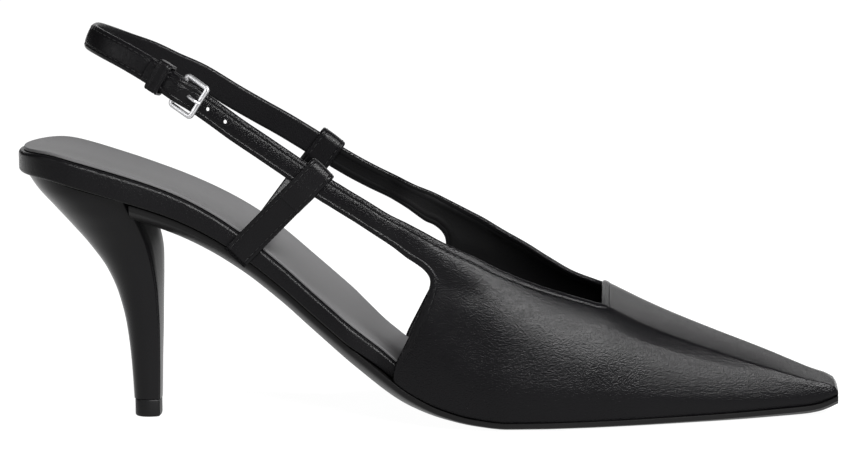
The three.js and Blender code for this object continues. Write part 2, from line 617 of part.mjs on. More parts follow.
// Position on the straps' line with its run, its way up across the face and its way out
function strapFrame(distance) {
  const u = THREE.MathUtils.clamp(distance / strapLength, 0, 1);
  const point = strapLine.getPointAt(u);
  const run = strapLine.getTangentAt(u);
  const out = new THREE.Vector3(0, 0, 1).cross(run).normalize();
  const up = new THREE.Vector3().crossVectors(run, out);
  const lean = (point.y < 0 ? outerLean : innerLean)(point.x / shoeLength);
  const angle = THREE.MathUtils.degToRad(lean);
  return {
    point,
    run,
    up: up.clone().multiplyScalar(Math.cos(angle)).addScaledVector(out, -Math.sin(angle)),
    out: out.clone().multiplyScalar(Math.cos(angle)).addScaledVector(up, Math.sin(angle)),
  };
}

// A strap of a width and wall between two distances. Offset moves its middle outwards, and skew slants the
// rings at the heel's end, with their lower edges drawn back.
function strap(from, to, width, wall, offset = () => 0, steps = 24, round = 0.3 * wall, skew = 0) {
  const rings = spread(from, to, steps).map((distance) => {
    const { point, run, up, out } = strapFrame(distance);
    const slant = (skew * (skew > 0 ? distance - from : to - distance)) / (to - from);
    const profile = [
      [-0.5, -0.5, 1, 0], [-0.5, -0.5, 0, 1], [-0.5, 0.5, 0, -1], [-0.5, 0.5, 1, 0],
      [0.5, 0.5, -1, 0], [0.5, 0.5, 0, -1], [0.5, -0.5, 0, 1], [0.5, -0.5, -1, 0],
    ];
    return profile.map(([a, b, roundUp, roundOut]) => point.clone()
      .addScaledVector(run, (0.5 - a) * slant)
      .addScaledVector(up, a * width + roundUp * round)
      .addScaledVector(out, offset(distance) + b * wall + roundOut * round));
  });
  return solidLoft(rings);
}

// A sleeve of leather round a strap, open at both ends
function sleeve(place, length, inner, wall, offset = 0, skew = 0) {
  const shift = () => offset;
  const extra = length / 2;
  const outside = strap(place - length / 2, place + length / 2,
    inner.width + 2 * wall, inner.wall + 2 * wall, shift, 4, 0.6 * wall, skew);
  const inside = strap(place - length / 2 - extra, place + length / 2 + extra,
    inner.width, inner.wall, shift, 6, 0.1);
  return outside.subtract(inside);
}

const places = {
  vampOuter: distanceAt(0.504 * shoeLength, -1),
  loopOuter: distanceAt(outerLoopPlace, -1),
  crossBar: distanceAt(bucklePlace, -1),
  keeper: distanceAt(keeperPlace, -1),
  loopInner: distanceAt(innerLoopPlace, 1),
  vampInner: distanceAt(0.504 * shoeLength, 1),
};
places.pinBar = places.crossBar + buckleReach;
const eyeRadius = barSize / 2 + gap + slingWall / 2;
const overEye = eyeRadius + gap + strapWall / 2;
const overSling = slingWall / 2 + gap + strapWall / 2;
const freeEnd = places.keeper + keeperWidth / 2 + 2;

// The outer strap lies on the line, climbs over the pin bar and ends flat on the sling
const outerOffset = column([
  { x: places.crossBar - 30, offset: 0 },
  { x: places.crossBar + barSize / 2, offset: 0 },
  { x: places.pinBar - 0.6, offset: overEye },
  { x: places.pinBar + 0.6, offset: overEye },
  { x: places.keeper - keeperWidth / 2, offset: overSling + 0.1 },
  { x: freeEnd + 10, offset: overSling + 0.1 },
], 'offset');

// Local axes at a distance along the straps: x along the run, y up across the face, z outwards
function placeOnStrap(geometry, distance, tilt = 0) {
  const { point, run, up, out } = strapFrame(distance);
  const basis = new THREE.Matrix4().makeBasis(run, up, out).setPosition(point);
  return geometry.applyMatrix4(new THREE.Matrix4().makeRotationY(tilt)).applyMatrix4(basis);
}

// Edge of a strap's root seen from the side, above or below its middle line
function strapEdges(side, name, edge) {
  return rootRows.map((row) => {
    const { point, up } = strapFrame(distanceAt(row.x * throatPlace, side));
    const place = point.clone().addScaledVector(up, (edge * row[name] * strapWidth) / 2);
    return [place.x, place.z];
  });
}
const rowPoints = (rows, side) => rows.map((row) => {
  const name = side < 0 ? 'outer' : 'inner';
  const x = (row[`${name}X`] ?? row.x) * throatPlace;
  return [x, soleTop(x) + row[name] * vampRise];
});

// Outlines seen from the side that cut the throat and the side windows out of the last's shell
function sideCutters(side) {
  const edges = [-side * gap, side * ballWidth].sort((a, b) => a - b);
  const high = 2 * heelRise;
  const behind = rootRows[0].x * throatPlace - strapWidth;
  const name = side < 0 ? 'outer' : 'inner';
  const throat = rowPoints(toplineRows, side);
  const throatFoot = throat[throat.length - 1][1];
  const overTop = slab([
    [behind, high],
    ...strapEdges(side, `${name}Top`, 1),
    ...throat,
    [throatPlace, throatFoot],
    [throatPlace, high],
  ], ...edges);
  const underStrap = slab([
    [behind, -20],
    ...strapEdges(side, `${name}Low`, -1),
    ...rowPoints(windowRows, side),
    [windowRows[windowRows.length - 1].outerX * throatPlace, -20],
  ], ...edges);
  return overTop.add(underStrap);
}

// The vamp's shell with both straps, open at the throat, at the sides and underneath
function makeUpper() {
  const vampStations = [...spread(0.64, 0.958, 14), ...toeShares].map((share) => share * shoeLength);
  const rootStations = stations.filter((x) => x > rootPlace + 1 && x < 0.63 * shoeLength);
  const shellStations = [rootPlace, ...rootStations, ...vampStations];
  const ring = (x, at, inward, drop) => lastSection(at, inward, drop)
    .map(([y, z]) => new THREE.Vector3(x, y, z));
  const shell = solidLoft(shellStations.map((x) => ring(x, x, 0, 0)));
  const hollowEnd = shoeLength - upperWall;
  const hollowStations = [
    rootPlace - strapWidth,
    ...shellStations.slice(1).filter((x) => x < hollowEnd - 1),
    hollowEnd,
  ];
  const hollow = solidLoft(hollowStations.map((x) => {
    const shift = upperWall * THREE.MathUtils.smoothstep(x, 0.92 * shoeLength, hollowEnd);
    return ring(x, Math.min(x + shift, shoeLength), upperWall, footbedThickness);
  }));
  let upper = shell.subtract(hollow).subtract(sideCutters(-1)).subtract(sideCutters(1));
  const outerStrap = strap(places.vampOuter, freeEnd, strapWidth, strapWall, outerOffset, 48);
  const innerStrap = strap(places.vampInner, places.loopInner + 0.4, strapWidth, strapWall, () => 0, 12);
  upper = upper.add(outerStrap).add(innerStrap);
  const hole = (distance) => solid(placeOnStrap(
    new THREE.CylinderGeometry(holeSize / 2, holeSize / 2, 6, 10).rotateX(Math.PI / 2),
    distance,
  ));
  const firstHole = places.crossBar - 3.4;
  [0, 1].forEach((i) => {
    upper = upper.subtract(hole(firstHole - i * holePitch));
  });
  return upper.subtract(prongBody(0.35));
}

// The sling, with an eye round the pin bar at its outer end
function makeSling() {
  const end = places.pinBar + eyeRadius * 0.6;
  const band = strap(end, places.loopInner - 0.4, strapWidth, slingWall, () => 0, 54);
  const pin = (radius, length) => solid(placeOnStrap(
    new THREE.CylinderGeometry(radius, radius, length, 16),
    places.pinBar,
  ));
  const slot = solid(placeOnStrap(
    new THREE.BoxGeometry(2 * eyeRadius + 3, prongSize + 4 * gap, 3 * eyeRadius).translate(-1, 0, 0),
    places.pinBar,
  ));
  return band.add(pin(eyeRadius, strapWidth)).subtract(pin(barSize / 2 + gap, strapWidth + 4)).subtract(slot);
}

// Buckle frame: pin bar in the sling's eye, cross bar on the strap, a side bar at each edge
function makeBuckleFrame() {
  const rise = strapWall / 2 + gap + barSize / 2;
  const inside = strapWidth + 2 * gap;
  const across = inside + barSize;
  const reach = Math.hypot(buckleReach, rise);
  const tilt = Math.atan2(rise, buckleReach);
  const sideSize = barSize * 1.1;
  const bar = (x) => new THREE.CylinderGeometry(barSize / 2, barSize / 2, across, 12).translate(x, 0, 0);
  const sideBar = (y) => new THREE.BoxGeometry(reach + 1.2 * barSize, sideSize, sideSize)
    .translate(-reach / 2, y, 0);
  const pieces = [
    bar(0),
    bar(-reach),
    sideBar((inside + sideSize) / 2),
    sideBar(-(inside + sideSize) / 2),
  ].map((geometry) => solid(placeOnStrap(geometry, places.pinBar, tilt)));
  return pieces.reduce((all, piece) => all.add(piece));
}

// Prong from its ring on the pin bar, through the strap, to its tip on the cross bar
function prongBody(grow = 0) {
  const rise = strapWall / 2 + gap + barSize + gap + prongSize / 2;
  const path = new THREE.CatmullRomCurve3([
    new THREE.Vector3(-barSize / 2 - gap - prongSize / 2, 0, 0),
    new THREE.Vector3(-0.45 * buckleReach, 0, 0.62 * rise),
    new THREE.Vector3(-0.8 * buckleReach, 0, 0.98 * rise + 0.25),
    new THREE.Vector3(-buckleReach, 0, rise + 0.25),
    new THREE.Vector3(-buckleReach - 0.9, 0, rise),
  ]);
  const size = prongSize / 2 + grow;
  const rings = spread(0, 1, 10).map((t) => {
    const point = path.getPointAt(t);
    const run = path.getTangentAt(t);
    const taper = 1 - 0.25 * t;
    return spread(0, 2 * Math.PI, 8).slice(0, -1).map((angle) => point.clone()
      .addScaledVector(new THREE.Vector3(0, 1, 0), size * taper * Math.cos(angle))
      .addScaledVector(new THREE.Vector3(-run.z, 0, run.x), size * taper * Math.sin(angle)));
  });
  return solid(placeOnStrap(loft(rings), places.pinBar));
}

function makeBuckleProng() {
  const ringShape = new THREE.Shape().absarc(0, 0, barSize / 2 + gap + prongSize, 0, 2 * Math.PI);
  ringShape.holes.push(new THREE.Path().absarc(0, 0, barSize / 2 + gap, 0, 2 * Math.PI, true));
  const settings = { depth: prongSize, bevelEnabled: false, curveSegments: 10 };
  const ring = new THREE.ExtrudeGeometry(ringShape, settings);
  ring.translate(0, 0, -prongSize / 2).rotateX(Math.PI / 2);
  return prongBody().add(solid(placeOnStrap(ring, places.pinBar)));
}

// Keeper round the sling and the strap's free end
function makeKeeper() {
  const stack = slingWall + 2 * gap + strapWall + 0.1;
  const inner = { width: strapWidth + 2 * gap, wall: stack + 2 * gap };
  return sleeve(places.keeper, keeperWidth, inner, tabWall * 0.7, (gap + strapWall) / 2);
}

// Distance along the strap where a line through a point, rising forward at a slope, meets its middle
function meetStrap(point, slope, side) {
  const angle = THREE.MathUtils.degToRad(slope);
  let before = distanceAt(point.x, side);
  let past = distanceAt(point.x + slingRise, side);
  for (let i = 0; i < 30; i += 1) {
    const halfway = (before + past) / 2;
    const to = strapFrame(halfway).point.sub(point);
    if (to.z * Math.cos(angle) > to.x * Math.sin(angle)) before = halfway;
    else past = halfway;
  }
  return before;
}

// Tab from the footbed's lower edge up to its loop round the strap
function makeTab(side) {
  const place = side < 0 ? places.loopOuter : places.loopInner;
  const { foot, slope } = side < 0 ? tabLines.outer : tabLines.inner;
  const angle = THREE.MathUtils.degToRad(slope);
  const rise = new THREE.Vector3(Math.cos(angle), 0, Math.sin(angle));
  const inner = { width: strapWidth + 2 * gap, wall: Math.max(strapWall, slingWall) + 2 * gap };
  const x = foot * shoeLength;
  const edge = side * footbedHalf(x, side);
  const knee = new THREE.Vector3(x, edge + side * (gap + tabWall / 2), footbedTop(x, edge) - 0.3 * tabWall);
  const head = strapFrame(meetStrap(knee, slope, side));
  const top = head.point.clone().addScaledVector(head.out, (inner.wall + tabWall) / 2);
  const reach = inner.width / 2 + tabWall;
  const under = top.clone().addScaledVector(rise, -reach).setY(top.y - head.up.y * reach);
  const low = knee.clone().addScaledVector(rise, -1.4 * footbedThickness);
  const line = [
    top,
    under,
    under.clone().lerp(knee, 0.5),
    under.clone().lerp(knee, 0.88),
    knee.clone().addScaledVector(rise, -0.6 * tabWall),
    low,
  ];
  const rings = line.map((middle, i) => {
    const ahead = line[Math.min(i + 1, line.length - 1)];
    const run = ahead.clone().sub(line[Math.max(i - 1, 0)]).normalize();
    const across = new THREE.Vector3(0, side, 0).cross(run).normalize();
    const thick = new THREE.Vector3().crossVectors(run, across);
    return [[-0.5, -0.5], [-0.5, 0.5], [0.5, 0.5], [0.5, -0.5]].map(([a, b]) => middle.clone()
      .addScaledVector(across, a * tabWidth)
      .addScaledVector(thick, b * tabWall));
  });
  const back = (inner.width + 2 * tabWall) * Math.abs(head.run.dot(rise) / head.up.dot(rise));
  const loop = sleeve(place, tabWidth, inner, tabWall, 0, back * (side < 0 ? 1 : -1));
  return loop.add(solidLoft(rings).subtract(belowPlane()));
}

const pieces = [
  ['outsole', makeOutsole, soleLeather],
  ['heel', makeHeel, heelCover],
  ['heel_tip', makeHeelTip, rubber],
  ['footbed', makeFootbed, leather],
  ['sock', makeSock, lining],
  ['upper', makeUpper, leather],
  ['sling', makeSling, leather],
  ['tab_outer', () => makeTab(-1), leather],
  ['tab_inner', () => makeTab(1), leather],
  ['keeper', makeKeeper, leather],
  ['buckle_frame', makeBuckleFrame, nickel],
  ['buckle_prong', makeBuckleProng, nickel],
];

const shoe = new THREE.Group();
pieces.forEach(([name, make, material]) => shoe.add(toMesh(name, make(), material)));

// The origin is under the middle of the shoe's box, on the floor
const box = new THREE.Box3().setFromObject(shoe);
const middle = box.getCenter(new THREE.Vector3());
shoe.position.set(-middle.x, -middle.y, -box.min.z);

export default shoe;
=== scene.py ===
import math

import bpy
import numpy as np
from mathutils import Matrix, Vector
from mathutils.kdtree import KDTree


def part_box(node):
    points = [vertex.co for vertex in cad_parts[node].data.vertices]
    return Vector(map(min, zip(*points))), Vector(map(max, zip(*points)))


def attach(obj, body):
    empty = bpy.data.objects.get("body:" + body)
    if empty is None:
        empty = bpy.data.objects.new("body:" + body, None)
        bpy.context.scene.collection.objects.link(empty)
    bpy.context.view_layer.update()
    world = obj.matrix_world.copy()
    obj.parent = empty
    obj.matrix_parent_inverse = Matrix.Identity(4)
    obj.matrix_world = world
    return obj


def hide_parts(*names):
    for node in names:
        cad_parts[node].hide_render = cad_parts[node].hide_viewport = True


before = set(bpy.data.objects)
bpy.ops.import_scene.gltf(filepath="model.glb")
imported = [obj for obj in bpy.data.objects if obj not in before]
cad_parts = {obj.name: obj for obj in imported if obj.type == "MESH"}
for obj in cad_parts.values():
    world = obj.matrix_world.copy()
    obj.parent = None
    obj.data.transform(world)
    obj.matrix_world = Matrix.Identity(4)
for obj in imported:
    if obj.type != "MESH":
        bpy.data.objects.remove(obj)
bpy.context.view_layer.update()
print("frame loaded")

# The shoe's own sizes in millimetres, as its solids have them: X from the heel's back, Y inward, Z up
shoe = {
    "length": 249.4,
    "ballWidth": 77.6,
    "heelRise": 74.0,
    "gap": 0.3,
    "soleThickness": 2.6,
    "seatDepth": 20.0,
    "archTwist": 1.5,
    "toeLength": 71.4,
}
millimetre = 0.001
throatPlace = shoe["length"] - shoe["toeLength"]
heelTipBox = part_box("heel_tip")
origin = np.array([
    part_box("upper")[1].x - shoe["length"] * millimetre,
    (heelTipBox[0].y + heelTipBox[1].y) / 2,
    0.0,
])


# A smooth curve through measured places, without overshoot between them
def smoothCurve(xs, ys):
    xs = np.array(xs, float)
    ys = np.array(ys, float)
    steps = np.diff(ys) / np.diff(xs)
    slopes = np.concatenate([steps[:1], np.zeros(len(xs) - 2), steps[-1:]])
    before, after = steps[:-1], steps[1:]
    same = before * after > 0
    slopes[1:-1][same] = 2 * before[same] * after[same] / (before[same] + after[same])

    def at(x):
        x = np.clip(np.asarray(x, float), xs[0], xs[-1])
        i = np.clip(np.searchsorted(xs, x, side="right") - 1, 0, len(xs) - 2)
        width = xs[i + 1] - xs[i]
        t = (x - xs[i]) / width
        start = ys[i] * (1 + 2 * t) * (1 - t) ** 2 + ys[i + 1] * t * t * (3 - 2 * t)
        return start + width * (slopes[i] * t * (1 - t) ** 2 - slopes[i + 1] * t * t * (1 - t))

    return at


# One curve for each column of a table, over the table's first column
def curvesOf(columns, rows, scale=1.0):
    table = np.array(sorted(rows), float)
    return {name: smoothCurve(table[:, 0] * scale, table[:, k + 1]) for k, name in enumerate(columns[1:])}


def smoothStep(x, start, end):
    t = np.clip((np.asarray(x, float) - start) / (end - start), 0, 1)
    return t * t * (3 - 2 * t)


# A centripetal Catmull-Rom line through points, as dense points
def smoothLine(points, steps=40):
    points = np.array(points, float)
    points = np.vstack([2 * points[0] - points[1], points, 2 * points[-1] - points[-2]])
    parts = []
    for k in range(1, len(points) - 2):
        p0, p1, p2, p3 = points[k - 1:k + 3]
        d0, d1, d2 = (np.linalg.norm(b - a) ** 0.5 for a, b in ((p0, p1), (p1, p2), (p2, p3)))
        m1 = ((p1 - p0) / d0 - (p2 - p0) / (d0 + d1) + (p2 - p1) / d1) * d1
        m2 = ((p2 - p1) / d1 - (p3 - p1) / (d1 + d2) + (p3 - p2) / d2) * d1
        t = (np.arange(steps) / steps)[:, None]
        square = (3 * (p2 - p1) - 2 * m1 - m2) * t ** 2
        cube = (2 * (p1 - p2) + m1 + m2) * t ** 3
        parts.append(p1 + m1 * t + square + cube)
    return np.vstack([*parts, points[-2:-1]])


def lengthsAlong(line):
    return np.concatenate([[0], np.cumsum(np.linalg.norm(np.diff(line, axis=0), axis=1))])


def resampled(line, places):
    lengths = lengthsAlong(line)
    return np.stack([np.interp(places, lengths, line[:, k]) for k in range(line.shape[1])], axis=1)


# The bottom of the shoe along its length
bottomColumns = ("x", "lift", "outer", "inner", "depth", "flat", "thick", "cover", "twist")
bottomRows = [
    (0.00, 1.000, 0.640, 0.640, 0.70, 0.55, 1.00, 0, 0),
    (0.04, 0.985, 0.643, 0.643, 0.70, 0.55, 1.00, 0, 0),
    (0.08, 0.949, 0.645, 0.645, 0.70, 0.55, 1.00, 0, 0),
    (0.12, 0.907, 0.633, 0.633, 0.70, 0.55, 1.00, 0, 0),
    (0.16, 0.864, 0.611, 0.608, 0.70, 0.55, 0.98, 0, 0),
    (0.20, 0.815, 0.593, 0.583, 0.74, 0.52, 0.95, 0, 0.1),
    (0.24, 0.753, 0.583, 0.562, 0.80, 0.50, 0.91, 0, 0.4),
    (0.28, 0.674, 0.583, 0.552, 0.88, 0.48, 0.87, 0, 0.8),
    (0.32, 0.573, 0.603, 0.552, 0.95, 0.48, 0.85, 0, 1),
    (0.36, 0.456, 0.644, 0.567, 1.00, 0.50, 0.83, 0, 1),
    (0.40, 0.337, 0.706, 0.603, 1.00, 0.55, 0.82, 0, 0.8),
    (0.42, 0.277, 0.745, 0.637, 0.97, 0.56, 0.80, 0.35, 0.5),
    (0.45, 0.190, 0.805, 0.700, 0.86, 0.60, 0.77, 1, 0.1),
    (0.48, 0.114, 0.861, 0.771, 0.56, 0.64, 0.70, 1, 0),
    (0.52, 0.049, 0.926, 0.858, 0.20, 0.70, 0.58, 1, 0),
    (0.56, 0.014, 0.974, 0.933, 0.03, 0.72, 0.50, 1, 0),
    (0.60, 0.000, 0.997, 0.985, 0.00, 0.72, 0.46, 1, 0),
    (0.64, 0.000, 0.990, 1.005, 0.00, 0.72, 0.44, 1, 0),
    (0.68, 0.000, 0.954, 0.995, 0.00, 0.72, 0.42, 1, 0),
    (0.72, 0.000, 0.896, 0.957, 0.00, 0.72, 0.41, 1, 0),
    (0.76, 0.000, 0.820, 0.896, 0.00, 0.72, 0.40, 1, 0),
    (0.80, 0.000, 0.732, 0.814, 0.00, 0.72, 0.40, 1, 0),
    (0.84, 0.000, 0.638, 0.716, 0.00, 0.72, 0.39, 1, 0),
    (0.88, 0.001, 0.541, 0.608, 0.00, 0.72, 0.38, 1, 0),
    (0.92, 0.004, 0.444, 0.500, 0.00, 0.72, 0.37, 1, 0),
    (0.96, 0.009, 0.357, 0.397, 0.00, 0.72, 0.36, 1, 0),
    (0.976, 0.016, 0.326, 0.356, 0.00, 0.72, 0.35, 1, 0),
    (0.988, 0.028, 0.304, 0.328, 0.00, 0.72, 0.35, 1, 0),
    (1.00, 0.044, 0.268, 0.288, 0.00, 0.72, 0.35, 1, 0),
]
bottom = curvesOf(bottomColumns, bottomRows, shoe["length"])

# The last over the foot: the ridge's half width, the shoulders' heights and the crown of the top plane
lastColumns = ("x", "ridge", "outer", "inner", "crown", "full")
lastRows = [
    (0.380, 1.300, 1.180, 1.245, 3.0, 0.50),
    (0.420, 1.350, 1.285, 1.350, 3.0, 0.50),
    (0.450, 1.375, 1.345, 1.420, 3.0, 0.50),
    (0.480, 1.385, 1.395, 1.490, 3.0, 0.50),
    (0.504, 1.385, 1.395, 1.505, 3.0, 0.50),
    (0.524, 1.370, 1.370, 1.490, 3.0, 0.50),
    (0.556, 1.320, 1.320, 1.440, 3.0, 0.50),
    (0.584, 1.262, 1.245, 1.360, 2.8, 0.52),
    (0.616, 1.196, 1.150, 1.246, 2.4, 0.54),
    (0.644, 1.135, 1.074, 1.130, 2.0, 0.56),
    (0.676, 1.066, 1.000, 1.008, 1.5, 0.58),
    (0.712, 1.000, 0.918, 0.918, 0.94, 0.60),
    (0.736, 0.958, 0.840, 0.840, 0.97, 0.60),
    (0.760, 0.916, 0.760, 0.760, 1.00, 0.58),
    (0.800, 0.842, 0.641, 0.641, 1.00, 0.54),
    (0.840, 0.767, 0.535, 0.535, 0.97, 0.48),
    (0.880, 0.690, 0.432, 0.432, 0.94, 0.42),
    (0.912, 0.626, 0.353, 0.353, 0.84, 0.36),
    (0.940, 0.568, 0.283, 0.283, 0.68, 0.32),
    (0.964, 0.518, 0.222, 0.222, 0.50, 0.30),
    (0.982, 0.478, 0.170, 0.170, 0.34, 0.30),
    (0.992, 0.450, 0.120, 0.120, 0.24, 0.30),
    (0.9972, 0.425, 0.083, 0.083, 0.18, 0.30),
    (1.000, 0.395, 0.040, 0.040, 0.12, 0.30),
]
last = curvesOf(lastColumns, lastRows, shoe["length"])
sideNames = {-1: "outer", 1: "inner"}


def soleTop(x, y=0.0):
    reach = bottom["outer"](x) * shoe["ballWidth"] / 2
    rise = bottom["lift"](x) * shoe["heelRise"] + shoe["soleThickness"]
    return rise + bottom["twist"](x) * shoe["archTwist"] * y / reach


# Half width of the sole's outline on one side, without the round seat and with it
def halfWidth(x, side):
    return bottom[sideNames[side]](x) * shoe["ballWidth"] / 2


def seatRound(x, start=0.0):
    power = 2.15
    back = np.clip((shoe["seatDepth"] - x) / (shoe["seatDepth"] - start), 0, 1)
    return np.maximum(0, 1 - back ** power) ** (1 / power)


# Points from millimetres on the shoe to metres in the frame
def placed(points):
    return np.asarray(points, float) * millimetre + origin


def inScene(name, data):
    made = bpy.data.objects.new(name, data)
    bpy.context.scene.collection.objects.link(made)
    return made


# A mesh object from points in millimetres, with outward faces, smooth but for its sharp edges
def makePiece(name, points, faces, materials, marks=None, sharpAngle=35):
    points = np.asarray(points, float)
    faces = [list(face) for face in faces]
    volume = 0.0
    for face in faces:
        a = points[face[0]]
        for k in range(1, len(face) - 1):
            volume += np.dot(a, np.cross(points[face[k]], points[face[k + 1]]))
    if volume < 0:
        faces = [face[::-1] for face in faces]
    mesh = bpy.data.meshes.new(name)
    mesh.from_pydata(placed(points).tolist(), [], faces)
    for material in materials:
        mesh.materials.append(material)
    if marks is not None:
        mesh.polygons.foreach_set("material_index", np.asarray(marks, dtype=np.int32))
    mesh.polygons.foreach_set("use_smooth", [True] * len(mesh.polygons))
    mesh.set_sharp_from_angle(angle=math.radians(sharpAngle))
    mesh.update()
    return inScene(name, mesh)


# A piece's one modifier turned into plain mesh
def settle(piece, modifier):
    shape = bpy.data.meshes.new_from_object(piece.evaluated_get(bpy.context.evaluated_depsgraph_get()))
    piece.modifiers.remove(modifier)
    piece.data = shape


# A finished piece rides on the shoe's only body and stands for its solids
def finishPiece(piece, slot, *nodes):
    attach(piece, "root")
    if nodes:
        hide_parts(*nodes)
    print("made", piece.name, len(piece.data.polygons), "faces")
    return piece


# Quads between closed rings that all have the same number of points
def ringQuads(rings, count):
    faces = []
    for r in range(rings - 1):
        for i in range(count):
            j = (i + 1) % count
            faces.append((r * count + i, r * count + j, (r + 1) * count + j, (r + 1) * count + i))
    return faces


# A closed loft through rings, with its two ends closed
def loft(rings):
    count = len(rings[0])
    faces = ringQuads(len(rings), count)
    start = (len(rings) - 1) * count
    faces.append(tuple(range(count))[::-1])
    faces.append(tuple(range(start, start + count)))
    return np.vstack(rings), faces


# A band through rings, its last ring joined to its first
def closedBand(rings):
    count = len(rings[0])
    end = (len(rings) - 1) * count
    seam = [(end + i, end + (i + 1) % count, (i + 1) % count, i) for i in range(count)]
    return np.vstack(rings), ringQuads(len(rings), count) + seam


# Several shapes as one
def joined(parts):
    points, faces, base = [], [], 0
    for p, f in parts:
        points.append(p)
        faces += [tuple(v + base for v in face) for face in f]
        base += len(p)
    return np.vstack(points), faces


def unit(vectors):
    vectors = np.asarray(vectors, float)
    return vectors / np.maximum(np.linalg.norm(vectors, axis=-1, keepdims=True), 1e-12)


# Outline of a flat strip's section as (across, out) pairs, with round edges and shallow grooves
def stripProfile(width, wall, round, grooves=(), crown=0.0, steps=5):
    half = width / 2
    spots = [np.linspace(-half + round, half - round, 15)]
    spots += [[place - reach, place - reach / 2, place, place + reach / 2, place + reach]
              for place, reach, depth in grooves]
    across = np.unique(np.round(np.concatenate(spots), 4))
    across = across[np.abs(across) <= half - round + 1e-6]
    outer = wall / 2 + crown * (1 - (across / half) ** 2)
    for place, reach, depth in grooves:
        outer = outer - depth * np.maximum(0, 1 - np.abs(across - place) / reach) ** 0.7
    turn = np.linspace(0, math.pi / 2, steps + 1)[1:-1]
    corner = np.stack([half - round + round * np.sin(turn), wall / 2 - round + round * np.cos(turn)], axis=1)
    right = np.vstack([corner, [[half, wall / 2 - round]], [[half, round - wall / 2]],
                       corner[::-1] * [1, -1]])
    back = np.stack([across[::-1], np.full(len(across), -wall / 2)], axis=1)
    left = np.vstack([corner * [-1, -1], [[-half, round - wall / 2]], [[-half, wall / 2 - round]],
                      corner[::-1] * [-1, 1]])
    front = np.stack([across, outer], axis=1)
    loop = np.vstack([front, right, back, left])
    keep = np.linalg.norm(loop - np.roll(loop, 1, axis=0), axis=1) > 1e-5
    return loop[keep]


# Directions out of the faces at the points of a skin, its open edges and the way out past them
def skinEdges(points, faces):
    corners = np.array([face if len(face) == 4 else (*face, face[2]) for face in faces if len(face) < 5])
    a, b, c, d = (points[corners[:, k]] for k in range(4))
    crossed = np.cross(c - a, d - b)
    triangle = corners[:, 2] == corners[:, 3]
    crossed[triangle] = np.cross(b - a, c - a)[triangle]
    normals = np.zeros_like(points)
    for k in range(4):
        np.add.at(normals, corners[:, k], crossed)
    normals = unit(normals)
    edges = {}
    for face in faces:
        for k, a in enumerate(face):
            b = face[(k + 1) % len(face)]
            if (b, a) in edges:
                del edges[(b, a)]
            else:
                edges[(a, b)] = True
    rim = sorted({v for edge in edges for v in edge})
    away = {v: np.zeros(3) for v in rim}
    for a, b in edges:
        edge = points[b] - points[a]
        for v in (a, b):
            away[v] = away[v] + unit(np.cross(edge, normals[v])) * np.linalg.norm(edge)
    away = {v: unit(out - normals[v] * np.dot(out, normals[v])) for v, out in away.items()}
    return normals, edges, away


# A leather skin with its wall: an inner skin, and a half-round rim along every open edge
def shellFromSkin(points, faces, wall, rimSteps=6):
    normals, edges, away = skinEdges(points, faces)
    wall = np.broadcast_to(wall, len(points))
    count = len(points)
    allPoints = [points, points - normals * wall[:, None]]
    arcs = {}
    extra = []
    for v, out in away.items():
        radius = wall[v] / 2
        chain = [v]
        for k in range(1, rimSteps):
            angle = math.pi * k / rimSteps
            chain.append(2 * count + len(extra))
            extra.append(points[v] + radius * (out * math.sin(angle) - normals[v] * (1 - math.cos(angle))))
        arcs[v] = [*chain, v + count]
    allPoints.append(np.array(extra))
    allFaces = [tuple(face) for face in faces]
    marks = [0] * len(allFaces)
    allFaces += [tuple(v + count for v in reversed(face)) for face in faces]
    marks += [1] * (len(allFaces) - len(marks))
    for a, b in edges:
        for k in range(rimSteps):
            allFaces.append((arcs[b][k], arcs[a][k], arcs[a][k + 1], arcs[b][k + 1]))
            marks.append(0 if k < rimSteps - 1 else 1)
    return np.vstack(allPoints), allFaces, marks


# The straps' line: outer side of the vamp, round the heel, inner side of the vamp
strap = {
    "width": 7.8,
    "wall": 1.6,
    "slingWall": 2.0,
    "slingRise": 45.4,
    "slingSpread": 33.4,
    "innerLoopPlace": 92.4,
    "keeperPlace": 46.2,
    "bucklePlace": 57.8,
    "holeSize": 1.25,
    "holePitch": 6.5,
    "holeFromBar": 3.2,
}
strapColumns = ("x", "side", "rise", "lean")
outerStrapRows = [
    (0.508, 1.020, 1.043, 6),
    (0.476, 1.010, 1.033, 6),
    (0.448, 0.990, 1.012, 6),
    (0.419, 0.970, 0.975, 6),
    (0.390, 0.945, 0.928, 6),
    (0.360, 0.922, 0.892, 6),
    (0.332, 0.900, 0.862, 6),
    (0.304, 0.876, 0.842, 6),
    (0.276, 0.850, 0.836, 6),
    (0.248, 0.817, 0.856, 7),
    (0.220, 0.775, 0.884, 8),
    (0.184, 0.705, 0.928, 11),
    (0.145, 0.595, 0.975, 15),
    (0.115, 0.440, 0.998, 20),
    (0.097, 0.235, 1.003, 23),
]
innerStrapRows = [
    (0.508, 1.020, 1.145, 6),
    (0.476, 1.015, 1.115, 6),
    (0.448, 1.000, 1.080, 6),
    (0.419, 0.985, 1.030, 6),
    (0.390, 0.965, 0.982, 6),
    (0.346, 0.940, 0.926, 6),
    (0.316, 0.922, 0.890, 6),
    (0.286, 0.904, 0.862, 6),
    (0.257, 0.880, 0.858, 7),
    (0.214, 0.817, 0.892, 9),
    (0.185, 0.748, 0.908, 11),
    (0.156, 0.668, 0.938, 14),
    (0.129, 0.533, 0.958, 18),
    (0.108, 0.350, 0.982, 22),
    (0.095, 0.150, 1.000, 24),
]
slingBackPlace = 0.092

# Where each strap widens into the vamp: shares of half the strap's width above and below its line
rootColumns = ("x", "outerTop", "outerLow", "innerTop", "innerLow")
rootRows = [
    (0.6025, 1.00, 1.02, 1.02, 0.97),
    (0.6360, 1.02, 1.08, 1.12, 0.92),
    (0.6610, 1.06, 1.13, 1.18, 0.94),
]

